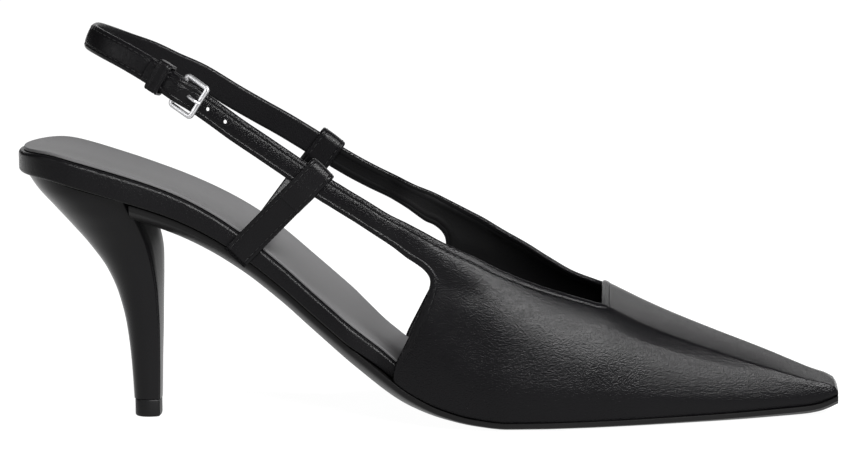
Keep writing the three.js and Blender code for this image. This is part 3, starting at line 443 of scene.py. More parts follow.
# Front edge of the side cut-outs, from the strap down to the sole, as shares of the throat's place
windowColumns = ("outerX", "outer", "innerX", "inner")
windowRows = [
    (0.6725, 1.098, 0.6866, 1.217),
    (0.6880, 1.094, 0.7020, 1.222),
    (0.7027, 1.076, 0.7151, 1.200),
    (0.7104, 1.040, 0.7219, 1.158),
    (0.7111, 1.000, 0.7230, 1.104),
    (0.7090, 0.950, 0.7202, 1.020),
    (0.6980, 0.790, 0.7062, 0.830),
    (0.6710, 0.450, 0.6753, 0.480),
    (0.6470, 0.130, 0.6487, 0.140),
    (0.6420, -0.060, 0.6417, -0.060),
]
vamp = {
    "rise": 37.4,
    "crownRise": 3.4,
    "topPlaneWidth": 48.0,
    "soleMargin": 0.7,
    "bulge": 0.3,
    "wall": 1.6,
    "ridgeReach": 7.0,
    "ridgeRounds": 160,
    "strapCrown": 0.4,
    "foldDepth": 0.16,
    "seamDepth": 0.26,
    "fold": 1.5,
    "strapFold": 0.95,
}


# Sections of the last on one side, from the feather edge up to the ridge, as dense lines over x
def sectionLines(x, side, count=160, smoothing=60):
    x = np.atleast_1d(np.asarray(x, float))[:, None]
    floor = soleTop(x) + shoe["gap"]
    wall = halfWidth(x, side) + vamp["bulge"]
    feather = halfWidth(x, side) - vamp["soleMargin"]
    shoulder = soleTop(x) + last[sideNames[side]](x) * vamp["rise"]
    ridge = last["ridge"](x) * vamp["topPlaneWidth"] / 2
    bulge = floor + 0.24 * (shoulder - floor)
    full = last["full"](x)
    bendY = (wall + ridge) / 2 + (wall - ridge) / 2 * full
    bendZ = (bulge + shoulder) / 2 + (shoulder - bulge) / 2 * full
    t = np.linspace(0, 1, count // 4)[None, :-1]
    s = np.linspace(0, 1, count)[None, :]
    lowY = feather + (wall - feather) * np.sin(t * math.pi / 2)
    lowZ = floor + (bulge - floor) * t
    flankY = (1 - s) ** 2 * wall + 2 * s * (1 - s) * bendY + s * s * ridge
    flankZ = (1 - s) ** 2 * bulge + 2 * s * (1 - s) * bendZ + s * s * shoulder
    y = np.concatenate([lowY, flankY], axis=1)
    z = np.concatenate([lowZ, flankZ], axis=1)
    steps = np.hypot(np.diff(y, axis=1), np.diff(z, axis=1))
    lengths = np.concatenate([np.zeros((len(y), 1)), np.cumsum(steps, axis=1)], axis=1)
    total = lengths[:, -1:]
    share = np.linspace(0, 1, count)
    even = [np.stack([np.interp(share, lengths[k] / total[k], v[k]) for k in range(len(v))]) for v in (y, z)]
    for line in even:
        for _ in range(smoothing):
            line[:, 1:-1] = 0.5 * line[:, 1:-1] + 0.25 * (line[:, :-2] + line[:, 2:])
    return even[0], even[1], total[:, 0]


def rowsAt(lines, index):
    low = np.clip(np.floor(index).astype(int), 0, lines.shape[1] - 2)
    part = index - low
    each = np.arange(len(lines))
    return lines[each, low] * (1 - part) + lines[each, low + 1] * part


# Points of the last's surface at places x and shares of the section's length
def surfaceAt(x, share, side):
    y, z, total = sectionLines(x, side)
    index = np.clip(share, 0, 1) * (y.shape[1] - 1)
    return np.stack([x, side * rowsAt(y, index), rowsAt(z, index)], axis=1)


# Half width of the last, and share of the section's length, at places x and heights z
def wallAt(x, z, side):
    y, heights, total = sectionLines(x, side)
    index = np.array([np.interp(zz, line, np.arange(len(line))) for zz, line in zip(z, heights)])
    return rowsAt(y, index), index / (y.shape[1] - 1)


def strapPoint(row, side):
    x = row[0] * shoe["length"]
    z = float(soleTop(x)) + row[2] * strap["slingRise"]
    if row[0] >= lastRows[2][0]:
        y = wallAt(np.array([x]), np.array([z]), side)[0][0] - vamp["wall"] / 2
    else:
        y = row[1] * strap["slingSpread"]
    return (x, side * y, z)


backPoint = (
    slingBackPlace * shoe["length"],
    0.0,
    float(soleTop(slingBackPlace * shoe["length"])) + strap["slingRise"],
)
strapLine = smoothLine([
    *[strapPoint(row, -1) for row in outerStrapRows],
    backPoint,
    *[strapPoint(row, 1) for row in reversed(innerStrapRows)],
])
strapLengths = lengthsAlong(strapLine)
strapLength = strapLengths[-1]
backIndex = int(np.argmin(strapLine[:, 0]))
strapRun = unit(np.gradient(strapLine, strapLengths, axis=0))
outerLean = curvesOf(strapColumns, outerStrapRows, shoe["length"])["lean"]
innerLean = curvesOf(strapColumns, innerStrapRows, shoe["length"])["lean"]
strapLean = np.where(strapLine[:, 1] < 0, outerLean(strapLine[:, 0]), innerLean(strapLine[:, 0]))
for _ in range(200):
    strapLean[1:-1] = 0.5 * strapLean[1:-1] + 0.25 * (strapLean[:-2] + strapLean[2:])


# Place, run, way up and way out of the straps' line at distances along it, straight on past its ends
def strapFrame(distance):
    distance = np.atleast_1d(np.asarray(distance, float))
    inside = np.clip(distance, 0, strapLength)
    point = np.stack([np.interp(inside, strapLengths, strapLine[:, k]) for k in range(3)], axis=1)
    run = unit(np.stack([np.interp(inside, strapLengths, strapRun[:, k]) for k in range(3)], axis=1))
    point = point + run * (distance - inside)[:, None]
    out = unit(np.stack([-run[:, 1], run[:, 0], np.zeros(len(run))], axis=1))
    up = np.cross(run, out)
    angle = np.radians(np.interp(inside, strapLengths, strapLean))[:, None]
    return point, run, up * np.cos(angle) - out * np.sin(angle), out * np.cos(angle) + up * np.sin(angle)


# Distance along the straps' line where it passes a place x on one side
def distanceAt(x, side):
    if side < 0:
        return float(np.interp(-x, -strapLine[:backIndex, 0], strapLengths[:backIndex]))
    return float(np.interp(x, strapLine[backIndex:, 0], strapLengths[backIndex:]))


buckle = {
    "reach": 7.2,
    "bar": 1.4,
    "prong": 1.2,
    "keeperWidth": 4.4,
    "keeperWall": 0.9,
}
places = {
    "crossBar": distanceAt(strap["bucklePlace"], -1),
    "keeper": distanceAt(strap["keeperPlace"], -1),
    "loopInner": distanceAt(strap["innerLoopPlace"], 1),
}
places["pinBar"] = places["crossBar"] + buckle["reach"]
eyeRadius = buckle["bar"] / 2 + shoe["gap"] + strap["slingWall"] / 2
overEye = eyeRadius + shoe["gap"] + strap["wall"] / 2
overSling = strap["slingWall"] / 2 + shoe["gap"] + strap["wall"] / 2
freeEnd = places["keeper"] + buckle["keeperWidth"] / 2 + 2
outerOffset = smoothCurve(
    [
        places["crossBar"] - 30,
        places["crossBar"] + buckle["bar"] / 2,
        places["pinBar"] - 0.6,
        places["pinBar"] + 0.6,
        places["keeper"] - buckle["keeperWidth"] / 2,
        freeEnd + 10,
    ],
    [0, 0, overEye, overEye, overSling + 0.1, overSling + 0.1],
)


# Where a line through a place, seen from the side, crosses an edge: its distance along the direction
def crossing(place, direction, edge, sign):
    to = edge - place
    beside = direction[0] * to[:, 1] - direction[1] * to[:, 0]
    ahead = (to @ direction) / (direction @ direction)
    hits = np.where((beside[:-1] * beside[1:] <= 0) & (ahead[:-1] * sign > 0))[0]
    if len(hits) == 0:
        return None
    best = min(hits, key=lambda k: abs(ahead[k]))
    part = beside[best] / (beside[best] - beside[best + 1])
    return ahead[best] + (ahead[best + 1] - ahead[best]) * part


# Push a line seen from the side to its left by a distance
def pushed(line, distance):
    run = unit(np.gradient(line, axis=0))
    return line + distance * np.stack([-run[:, 1], run[:, 0]], axis=1)


# How the upper's skin is divided: millimetres in from a cut edge, shares across the strap's root
edgeSteps = np.array([0.5, 0.95, 1.2, 1.4, 1.6, 1.85, 2.25, 2.9, 3.7, 4.7, 5.9])
acrossSteps = np.array([0, 0.05, 0.09, 0.12, 0.145, 0.17, 0.205, 0.26, 0.34, 0.44, 0.56, 0.66, 0.74,
                        0.795, 0.83, 0.855, 0.88, 0.91, 0.95, 1.0])
skin = {
    "rowsBelowStrap": 26,
    "strapShare": 0.27,
    "flankStart": 7.1,
    "flankColumns": 44,
    "toeStart": 1.3,
    "toeColumns": 52,
    "topColumns": 35,
    "strapPitch": 0.9,
    "lineSteps": 30,
    "cornerRow": 3,
    "behindRoot": (24, 16, 8),
    "rootReach": 12,
    "shoulderPlaces": (120.0, 125.0, 130.0, 136.0, 142.0),
    "lyingFrom": 107.0,
    "lyingTo": 125.5,
}


# Columns of one side of the upper, from the toe to the cut-out and then along the strap
def sideGrid(side, toeColumns):
    name = sideNames[side]
    rimRadius = vamp["wall"] / 2
    sign = -side
    steps = skin["lineSteps"]
    rootDistances = [distanceAt(row[0] * throatPlace, side) for row in rootRows]
    lowRows = [row[rootColumns.index(name + "Low")] for row in rootRows]
    topRows = [row[rootColumns.index(name + "Top")] for row in rootRows]

    def edgePoint(distance, share):
        point, run, up, out = strapFrame(distance)
        return (point + up * share * strap["width"] / 2)[0][[0, 2]]

    # the cut-out's edge from the strap's underside down the front, and the topline
    behind = [rootDistances[0] + sign * d for d in skin["behindRoot"]]
    lowEdge = [edgePoint(d, -1) for d in behind]
    lowEdge += [edgePoint(d, -share) for d, share in zip(rootDistances, lowRows)]
    k = windowColumns.index(name + "X")
    windowX, windowRise = np.array([row[k:k + 2] for row in windowRows]).T
    windowX = windowX * throatPlace
    window = np.stack([windowX, soleTop(windowX) + windowRise * vamp["rise"]], axis=1)
    below = pushed(smoothLine([*lowEdge, *window], steps), rimRadius)
    cornerPlace = pushed(smoothLine(window, steps), rimRadius)[skin["cornerRow"] * steps]
    cornerIndex = int(np.argmin(np.linalg.norm(below - cornerPlace, axis=1)))
    shoulderX = np.array(skin["shoulderPlaces"])
    shoulderZ = soleTop(shoulderX) + last[name](shoulderX) * vamp["rise"]
    above = [edgePoint(d, 1) for d in behind]
    above += [edgePoint(d, share) for d, share in zip(rootDistances[:2], topRows[:2])]
    above = pushed(smoothLine([*above, *np.stack([shoulderX, shoulderZ], axis=1)], steps), -rimRadius)

    # rows: the lower ones end at the cut-out's front edge, the upper ones run on into the strap
    corner = below[cornerIndex]
    front = below[cornerIndex:]
    height = front[:, 1] - (soleTop(front[:, 0]) + shoe["gap"])
    front = front[height > 0.4 * rimRadius]
    climb = np.linspace(0, 1, skin["rowsBelowStrap"] + 1)
    frontLine = resampled(front, lengthsAlong(front)[-1] * (1 - climb))

    # the strap's line passes the corner at this distance
    tried = (0.0 if side < 0 else strapLength) + np.linspace(-14, 14, 561)
    point, run, up, out = strapFrame(tried)
    to = corner - point[:, [0, 2]]
    beside = up[:, 0] * to[:, 1] - up[:, 2] * to[:, 0]
    cornerDistance = tried[int(np.argmin(np.abs(beside)))]

    def crossPoints(distance):
        point, run, up, out = strapFrame(distance)
        half = strap["width"] / 2 - rimRadius
        low, top = -half, half
        if sign * (distance - rootDistances[0]) <= skin["rootReach"]:
            place, direction = point[0][[0, 2]], up[0][[0, 2]]
            low = crossing(place, direction, below[:cornerIndex + 3], -1)
            low = -half if low is None else low
            top = crossing(place, direction, above, 1)
            top = half if top is None else top
        across = low + (top - low) * acrossSteps
        offset = float(outerOffset(distance)) if side < 0 else 0.0
        flat = point + up * across[:, None] + out * (strap["wall"] / 2 + offset)
        blend = float(smoothStep(point[0][0], skin["lyingFrom"], skin["lyingTo"]))
        if blend > 0:
            seen = (point + up * across[:, None])[:, [0, 2]]
            wide, share = wallAt(seen[:, 0], seen[:, 1], side)
            lying = np.stack([seen[:, 0], side * wide, seen[:, 1]], axis=1)
            flat = flat * (1 - blend) + lying * blend
        return flat

    # the column through the corner: up the front edge, then across the strap's root
    seen = np.vstack([frontLine, crossPoints(cornerDistance)[1:, [0, 2]]])
    half, share = wallAt(seen[:, 0], seen[:, 1], side)
    share[-1] = min(share[-1], 1.0)
    topPart = skin["strapShare"]
    rows = np.concatenate([climb * (1 - topPart), (1 - topPart) + acrossSteps[1:] * topPart])

    # columns of the flank, close together at the cut-out's edge
    start = throatPlace + rimRadius
    reach = start - seen[:, 0].min()
    depth = np.concatenate([[0], edgeSteps, np.linspace(skin["flankStart"], reach, skin["flankColumns"])])
    columns = [surfaceAt(np.full(len(rows), x), rows, side) for x in reversed(toeColumns)]
    for part in 1 - depth[::-1] / reach:
        x = start + (seen[:, 0] - start) * part
        total = sectionLines(x, side)[2]
        full = rows * (1 - rimRadius / total * smoothStep(x, start + 0.5, start - 3.0))
        columns.append(surfaceAt(x, full + (share - full) * part, side))
    columns[-1] = np.stack([seen[:, 0], side * half, seen[:, 1]], axis=1)
    strapEnd = freeEnd if side < 0 else places["loopInner"] + 0.4
    count = int(abs(strapEnd - cornerDistance) / skin["strapPitch"])
    columns += [crossPoints(d) for d in np.linspace(cornerDistance, strapEnd, count + 1)[1:]]
    return columns, len(rows)


print("sizes ready: straps", round(float(strapLength), 1), "mm")


# A node's inputs: a socket is linked, anything else is set as its value
def setInputs(node, values):
    for key, value in values.items():
        if isinstance(value, bpy.types.NodeSocket):
            node.id_data.links.new(value, node.inputs[key])
        else:
            node.inputs[key].default_value = value


def addNode(tree, kind, values, **settings):
    node = tree.nodes.new(kind)
    for key, value in settings.items():
        setattr(node, key, value)
    setInputs(node, values)
    return node


def addNoise(tree, place, scale, detail):
    values = {"Vector": place, "Scale": scale, "Detail": detail}
    return addNode(tree, "ShaderNodeTexNoise", values).outputs["Fac"]


# A new material with its nodes, its shader and the object's own coordinates
def newLook(name):
    material = bpy.data.materials.new(name)
    material.use_nodes = True
    tree = material.node_tree
    place = addNode(tree, "ShaderNodeTexCoord", {}).outputs["Object"]
    return material, tree, tree.nodes["Principled BSDF"], place


# Materials: black calf, its lining, sole and heel leather, rubber, sock, thread and bright metal
def leatherLook(name, color, roughness, grain, depth, specular, spread=0.04):
    material, tree, shader, place = newLook(name)
    cells = addNode(tree, "ShaderNodeTexVoronoi", {"Vector": place, "Scale": grain, "Randomness": 1.0})
    broad = addNoise(tree, place, 38.0, 3.0)
    relief = {0: cells.outputs["Distance"], 1: 0.8, 2: addNoise(tree, place, grain * 1.7, 4.0)}
    height = addNode(tree, "ShaderNodeMath", relief, operation="MULTIPLY_ADD").outputs[0]
    bump = addNode(tree, "ShaderNodeBump", {"Strength": 1.0, "Distance": depth, "Height": height})
    ends = {"Value": broad, "To Min": roughness - spread, "To Max": roughness + spread}
    gloss = addNode(tree, "ShaderNodeMapRange", ends)
    tones = {0: broad, 6: (*[c * 0.8 for c in color], 1), 7: (*[c * 1.2 for c in color], 1)}
    tone = addNode(tree, "ShaderNodeMix", tones, data_type="RGBA")
    setInputs(shader, {
        "Base Color": tone.outputs[2],
        "Roughness": gloss.outputs["Result"],
        "Normal": bump.outputs["Normal"],
        "Specular IOR Level": specular,
    })
    return material


calf = leatherLook("blackCalf", (0.0018, 0.0017, 0.002), 0.23, 2100.0, 0.0001, 0.095)
calfStrap = leatherLook("blackCalfStrap", (0.0025, 0.0024, 0.0027), 0.27, 2400.0, 0.00007, 0.085)
lining = leatherLook("blackLining", (0.0018, 0.0018, 0.0019), 0.62, 1600.0, 0.00003, 0.035)
soleLeather = leatherLook("blackSole", (0.003, 0.0029, 0.003), 0.36, 1200.0, 0.00002, 0.12)
heelCover = leatherLook("blackHeelCover", (0.0022, 0.0021, 0.0024), 0.28, 2000.0, 0.00001, 0.13)
rubber = leatherLook("blackTopPiece", (0.003, 0.003, 0.0032), 0.45, 1200.0, 0.00002, 0.12)
sockGrey = leatherLook("greySock", (0.06, 0.0594, 0.0606), 0.36, 1600.0, 0.00001, 0.035)


def metalLook(name, color, roughness):
    material, tree, shader, place = newLook(name)
    ends = {"Value": addNoise(tree, place, 900.0, 4.0), "To Min": roughness * 0.7, "To Max": roughness * 1.5}
    gloss = addNode(tree, "ShaderNodeMapRange", ends)
    setInputs(shader, {"Base Color": (*color, 1), "Metallic": 1.0, "Roughness": gloss.outputs["Result"]})
    return material


brightMetal = metalLook("brightNickel", (0.48, 0.48, 0.49), 0.34)


def threadLook(name, dark, light):
    material, tree, shader, place = newLook(name)
    twist = addNode(tree, "ShaderNodeTexWave", {"Vector": place, "Scale": 1400.0}).outputs["Fac"]
    tone = addNode(tree, "ShaderNodeMix", {0: twist, 6: (*dark, 1), 7: (*light, 1)}, data_type="RGBA")
    setInputs(shader, {"Base Color": tone.outputs[2], "Roughness": 0.5, "Specular IOR Level": 0.2})
    return material


thread = threadLook("blackThread", (0.003, 0.003, 0.0032), (0.009, 0.009, 0.0094))
print("materials ready")

stitching = {
    "pitch": 2.2,
    "length": 1.75,
    "thickness": 0.34,
    "unevenness": 0.12,
    "seed": 7,
}


# Stitches set along lines: one small rounded bar at each step of the line
def stitchNodes():
    tree = bpy.data.node_groups.new("stitchesAlongLines", "GeometryNodeTree")
    inputs = {"Geometry": "Geometry", "Pitch": "Float", "Length": "Float", "Thickness": "Float",
              "Unevenness": "Float", "Seed": "Int", "Material": "Material"}
    for label, kind in inputs.items():
        tree.interface.new_socket(label, in_out="INPUT", socket_type="NodeSocket" + kind)
    tree.interface.new_socket("Geometry", in_out="OUTPUT", socket_type="NodeSocketGeometry")
    given = addNode(tree, "NodeGroupInput", {}).outputs
    curve = addNode(tree, "GeometryNodeMeshToCurve", {"Mesh": given["Geometry"]}).outputs["Curve"]
    pitch = {"Curve": curve, "Length": given["Pitch"]}
    steps = addNode(tree, "GeometryNodeResampleCurve", pitch, mode="LENGTH")
    ball = addNode(tree, "GeometryNodeMeshUVSphere", {"Segments": 8, "Rings": 6, "Radius": 0.5})
    thickness = given["Thickness"]
    size = addNode(tree, "ShaderNodeCombineXYZ", {"X": thickness, "Y": thickness, "Z": given["Length"]})
    shape = addNode(tree, "GeometryNodeTransform", {
        "Geometry": ball.outputs["Mesh"],
        "Scale": size.outputs["Vector"],
    })
    tangent = addNode(tree, "GeometryNodeInputTangent", {}).outputs["Tangent"]
    turned = addNode(tree, "FunctionNodeAlignRotationToVector", {"Vector": tangent}, axis="Z")
    least = addNode(tree, "ShaderNodeMath", {0: 1.0, 1: given["Unevenness"]}, operation="SUBTRACT").outputs[0]
    chances = {2: least, 3: 1.0, "Seed": given["Seed"]}
    chance = addNode(tree, "FunctionNodeRandomValue", chances, data_type="FLOAT")
    sewn = addNode(tree, "GeometryNodeInstanceOnPoints", {
        "Points": steps.outputs["Curve"],
        "Instance": shape.outputs["Geometry"],
        "Rotation": turned.outputs["Rotation"],
        "Scale": chance.outputs[1],
    })
    real = addNode(tree, "GeometryNodeRealizeInstances", {"Geometry": sewn.outputs["Instances"]})
    smooth = addNode(tree, "GeometryNodeSetShadeSmooth", {"Geometry": real.outputs["Geometry"]})
    finish = {"Geometry": smooth.outputs["Geometry"], "Material": given["Material"]}
    dressed = addNode(tree, "GeometryNodeSetMaterial", finish)
    addNode(tree, "NodeGroupOutput", {"Geometry": dressed.outputs["Geometry"]})
    return tree


stitchTree = stitchNodes()


# Rows of stitches along lines of places, as one piece
def sewLines(name, lines, slot):
    edges = []
    count = 0
    for line in lines:
        edges += [(count + k, count + k + 1) for k in range(len(line) - 1)]
        count += len(line)
    mesh = bpy.data.meshes.new(name)
    mesh.from_pydata(placed(np.vstack(lines)).tolist(), edges, [])
    piece = inScene(name, mesh)
    sewing = piece.modifiers.new("stitches", "NODES")
    sewing.node_group = stitchTree
    values = {
        "Pitch": stitching["pitch"] * millimetre,
        "Length": stitching["length"] * millimetre,
        "Thickness": stitching["thickness"] * millimetre,
        "Unevenness": stitching["unevenness"],
        "Seed": stitching["seed"],
        "Material": thread,
    }
    for item in stitchTree.interface.items_tree:
        if item.in_out == "INPUT" and item.name in values:
            sewing[item.identifier] = values[item.name]
    settle(piece, sewing)
    return finishPiece(piece, slot)


# The upper: both flanks, the top plane between the ridges and the two straps, as one skin
def makeUpper():
    start = throatPlace + vamp["wall"] / 2
    near = start + edgeSteps
    toeReach = shoe["length"] - near[-1] - skin["toeStart"]
    far = shoe["length"] - toeReach * (1 - np.linspace(0, 1, skin["toeColumns"]) ** 0.8)
    toeColumns = np.concatenate([near, far])
    points, faces, indexes = [], [], {}
    count = 0
    for side in (-1, 1):
        columns, rows = sideGrid(side, toeColumns)
        index = []
        for column in columns:
            index.append([None] * (rows - len(column)) + list(range(count, count + len(column))))
            points.append(column)
            count += len(column)
        for i in range(len(index) - 1):
            for j in range(rows - 1):
                quad = (index[i][j], index[i][j + 1], index[i + 1][j + 1], index[i + 1][j])
                if None not in quad:
                    faces.append(quad if side < 0 else quad[::-1])
        indexes[side] = index

    # the top plane
    throatColumn = len(toeColumns)
    steps = np.sin(np.linspace(-math.pi / 2, math.pi / 2, skin["topColumns"]))
    panel = []
    for i, x in enumerate([*toeColumns[::-1], start]):
        ridge = float(last["ridge"](x)) * vamp["topPlaneWidth"] / 2
        shoulder = float(soleTop(x) + last["outer"](x) * vamp["rise"])
        crest = float(last["crown"](x)) * vamp["crownRise"]
        points += [np.array([[x, t * ridge, shoulder + crest * (1 - t * t)]]) for t in steps[1:-1]]
        inner = count + len(steps) - 2
        panel.append([indexes[-1][i][-1], *range(count, inner), indexes[1][i][-1]])
        count = inner
    for i in range(throatColumn):
        for j in range(len(steps) - 1):
            faces.append((panel[i][j], panel[i][j + 1], panel[i + 1][j + 1], panel[i + 1][j]))

    # the toe's front, row by row across and then up to the crown
    outer, inner, crown = indexes[-1][0], indexes[1][0], panel[0]
    for j in range(len(outer) - 1):
        faces.append((outer[j], inner[j], inner[j + 1], outer[j + 1]))
    half = len(crown) // 2
    for k in range(half - 1):
        faces.append((crown[k], crown[-1 - k], crown[-2 - k], crown[k + 1]))
    faces.append((crown[half - 1], crown[half + 1], crown[half]))
    points = np.vstack(points)

    # soften the ridges: even out each cross row near them
    rows = len(indexes[-1][0])
    for i in range(throatColumn + 1):
        line = [*indexes[-1][i], *panel[i][1:-1], *reversed(indexes[1][i])]
        spots = points[line]
        lengths = lengthsAlong(spots)
        ridges = lengths[[rows - 1, len(line) - rows]]
        away = np.min(np.abs(lengths[:, None] - ridges), axis=1)
        near = np.exp(-(away / vamp["ridgeReach"]) ** 2)[:, None]
        near *= smoothStep(spots[0][0], start + 0.5, start + 16)
        for _ in range(vamp["ridgeRounds"]):
            gaps = np.diff(lengths)[:, None]
            even = (spots[:-2] * gaps[1:] + spots[2:] * gaps[:-1]) / (gaps[1:] + gaps[:-1])
            spots[1:-1] += 0.5 * near[1:-1] * (even - spots[1:-1])
        points[line] = spots
    return points, faces


# How far each point of the upper lies from the nearest cut edge, the feather edge apart
def distanceFromEdges(points, away):
    edge = [v for v in away if points[v][2] > soleTop(points[v][0]) + 2.2]
    tree = KDTree(len(edge))
    for k, v in enumerate(edge):
        tree.insert(points[v], k)
    tree.balance()
    return np.array([tree.find(point)[2] for point in points])


# Distance of the fold's end and the stitches from the rim, less on the narrow straps
def foldPlace(x):
    return vamp["strapFold"] + (vamp["fold"] - vamp["strapFold"]) * smoothStep(x, 108, 127)


upperPoints, upperFaces = makeUpper()
normals, edges, away = skinEdges(upperPoints, upperFaces)
inset = distanceFromEdges(upperPoints, away)
fold = foldPlace(upperPoints[:, 0])
relief = vamp["foldDepth"] * (1 - smoothStep(inset, fold - 0.1, fold + 0.35))
relief -= vamp["seamDepth"] * np.exp(-((inset - fold) / 0.2) ** 2)
halfStrap = np.clip(inset / (strap["width"] / 2 - 0.8), 0, 1)
relief += vamp["strapCrown"] * (1 - (1 - halfStrap) ** 2) * (1 - smoothStep(upperPoints[:, 0], 118, 132))

# where the leather gives: start and end seen from the side, half width and height
creaseColumns = ("side", "fromX", "fromZ", "toX", "toZ", "width", "height")
creaseRows = [
    (-1, 126.5, 46.0, 139.0, 41.5, 3.6, -0.4),
    (-1, 127.0, 53.0, 147.0, 47.5, 5.0, 0.25),
    (-1, 124.5, 34.0, 131.0, 20.0, 5.0, 0.2),
    (-1, 131.0, 37.0, 143.0, 24.0, 6.0, -0.25),
    (-1, 150.0, 34.0, 176.0, 21.0, 7.0, 0.3),
    (1, 128.0, 50.0, 141.0, 46.0, 3.6, -0.4),
    (1, 129.0, 57.0, 148.0, 51.0, 5.0, 0.25),
    (1, 133.0, 38.0, 145.0, 25.0, 5.5, -0.3),
]
for side, fromX, fromZ, toX, toZ, width, height in creaseRows:
    seen = upperPoints[:, [0, 2]]
    along = np.array([toX - fromX, toZ - fromZ])
    part = np.clip((seen - [fromX, fromZ]) @ along / (along @ along), 0, 1)
    off = np.linalg.norm(seen - [fromX, fromZ] - part[:, None] * along, axis=1)
    here = (upperPoints[:, 1] * side > 0) & (inset > 0)
    relief += here * height * np.exp(-((off / width) ** 2)) * smoothStep(inset, 0.5, 3.0)
foldedPoints = upperPoints + normals * relief[:, None]
wallHere = vamp["wall"] * (1 - 0.65 * smoothStep(upperPoints[:, 0], 236, 248))
shellPoints, shellFaces, shellMarks = shellFromSkin(foldedPoints, upperFaces, wallHere)
upper = makePiece("upper_leather", shellPoints, shellFaces, [calf, lining], shellMarks, 50)


# Round holes punched through the strap, one for the prong and two more
def punchHoles(piece):
    tools = []
    turn = np.linspace(0, 2 * math.pi, 25)[:-1]
    for k in range(3):
        distance = places["crossBar"] - strap["holeFromBar"] + (1 - k) * strap["holePitch"]
        point, run, up, out = (v[0] for v in strapFrame(distance))
        circle = np.outer(np.cos(turn), run) + np.outer(np.sin(turn), up)
        middle = point + out * 1.5 * (k == 0)
        rings = [middle + out * depth + circle * strap["holeSize"] / 2 for depth in (-2.6, 2.6)]
        tools.append(loft(rings))
    tool = makePiece("holeTool", *joined(tools), [lining])
    cut = piece.modifiers.new("holes", "BOOLEAN")
    cut.operation = "DIFFERENCE"
    cut.solver = "EXACT"
    cut.object = tool
    settle(piece, cut)
    bpy.data.objects.remove(tool)
    piece.data.polygons.foreach_set("use_smooth", [True] * len(piece.data.polygons))
    piece.data.set_sharp_from_angle(angle=math.radians(50))


punchHoles(upper)
finishPiece(upper, "upper_leather", "upper")


# The cut edges of the upper as lines, without the feather edge and the strap's hidden end
def cutEdges():
    after = {a: b for a, b in edges}
    lines = []
    left = set(after)
    while left:
        start = left.pop()
        line = [start]
        while after[line[-1]] != start:
            line.append(after[line[-1]])
            left.discard(line[-1])
        x, z = upperPoints[line][:, 0], upperPoints[line][:, 2]
        kept = ((z > soleTop(x) + 2.6) & (x > strap["bucklePlace"] + 3)).tolist()
        first = kept.index(False) if False in kept else 0
        run = []
        for v, keep in zip([*line[first:], *line[:first]], [*kept[first:], *kept[:first]]):
            if keep:
                run.append(v)
            elif run:
                lines.append(run)
                run = []
        if run:
            lines.append(run)
    return [line for line in lines if len(line) > 12]


def sewnLine(line):
    depth = foldPlace(upperPoints[line, 0])[:, None]
    spots = upperPoints[line] - np.array([away[v] for v in line]) * depth
    spots += normals[line] * (0.02 - vamp["seamDepth"] + stitching["thickness"] / 2)
    for _ in range(6):
        spots[1:-1] = 0.5 * spots[1:-1] + 0.25 * (spots[:-2] + spots[2:])
    return spots


sewLines("upper_stitches", [sewnLine(line) for line in cutEdges()], "upper_leather")


# Flat bodies that follow the foot's plan: the footbed, the sock and the outsole
def planBody(stations, half, sides, height):
    # sides: rows of (inset, drop) from the underside's edge round to the top's edge
    loops = []
    for inset, drop in sides:
        xs = stations(inset)
        outer = np.array([[x, -half(x, -1, inset), 0] for x in xs])
        inner = np.array([[x, half(x, 1, inset), 0] for x in xs])
        loop = np.vstack([outer, inner[::-1]])
        loop[:, 2] = [height(x, y, drop) for x, y, z in loop]
        loops.append(loop)
    count = len(loops[0])
    points = list(loops)
    faces = ringQuads(len(loops), count)

    # close the top and the underside with cross rows between the two edges
    total = len(loops) * count
    stationsCount = count // 2
    shares = np.linspace(0, 1, 23)[1:-1]
    under = (loops[0], 0, sides[0][1], True)
    top = (loops[-1], (len(loops) - 1) * count, sides[-1][1], False)
    for loop, base, drop, flip in (under, top):
        rows = []
        for i in range(stationsCount):
            a, b = loop[i], loop[count - 1 - i]
            row = [base + i]
            for share in shares:
                x, y = a[0], a[1] + (b[1] - a[1]) * share
                points.append(np.array([[x, y, height(x, y, drop)]]))
                row.append(total)
                total += 1
            rows.append([*row, base + count - 1 - i])
        for i in range(stationsCount - 1):
            for j in range(len(rows[0]) - 1):
                quad = (rows[i][j], rows[i][j + 1], rows[i + 1][j + 1], rows[i + 1][j])
                faces.append(quad if flip else quad[::-1])
    return np.vstack(points), faces


footbed = {
    "thickness": 7.7,
    "overhang": 1.6,
    "cupDepth": 1.2,
    "cupFull": 0.22,
    "cupEnd": 0.45,
    "lowRound": 0.9,
    "highRound": 1.3,
    "sockThickness": 0.9,
    "sockInset": 1.7,
}


def seatStations(inset, start, end):
    angles = np.linspace(0.0, math.pi / 2, 34)
    power = 2.15
    seat = start + inset + (shoe["seatDepth"] - start - inset) * (1 - np.cos(angles) ** (2 / power))
    rest = np.linspace(shoe["seatDepth"], end - inset, 120)[1:]
    return np.concatenate([seat, rest])


def footbedHalf(x, side, inset):
    inside = vamp["wall"] + vamp["soleMargin"] + 2 * shoe["gap"]
    shift = footbed["overhang"] + (-inside - footbed["overhang"]) * bottom["cover"](x)
    return (halfWidth(x, side) + shift - inset) * seatRound(x, inset)


def footbedTop(x, y=0.0):
    half = float(halfWidth(x, -1 if y < 0 else 1))
    rise = footbed["cupDepth"] * (max(0.0, min(abs(y) / half, 1.0) - 0.2) / 0.8) ** 2
    faded = float(smoothStep(x / shoe["length"], footbed["cupFull"], footbed["cupEnd"]))
    cup = (rise - footbed["cupDepth"]) * (1 - faded)
    return float(soleTop(x, y) + shoe["gap"] + bottom["thick"](x) * footbed["thickness"]) + cup


def footbedHeight(x, y, drop):
    if drop < 0:
        return float(soleTop(x, y)) + shoe["gap"] - drop - 1e-3
    return footbedTop(x, y) - drop


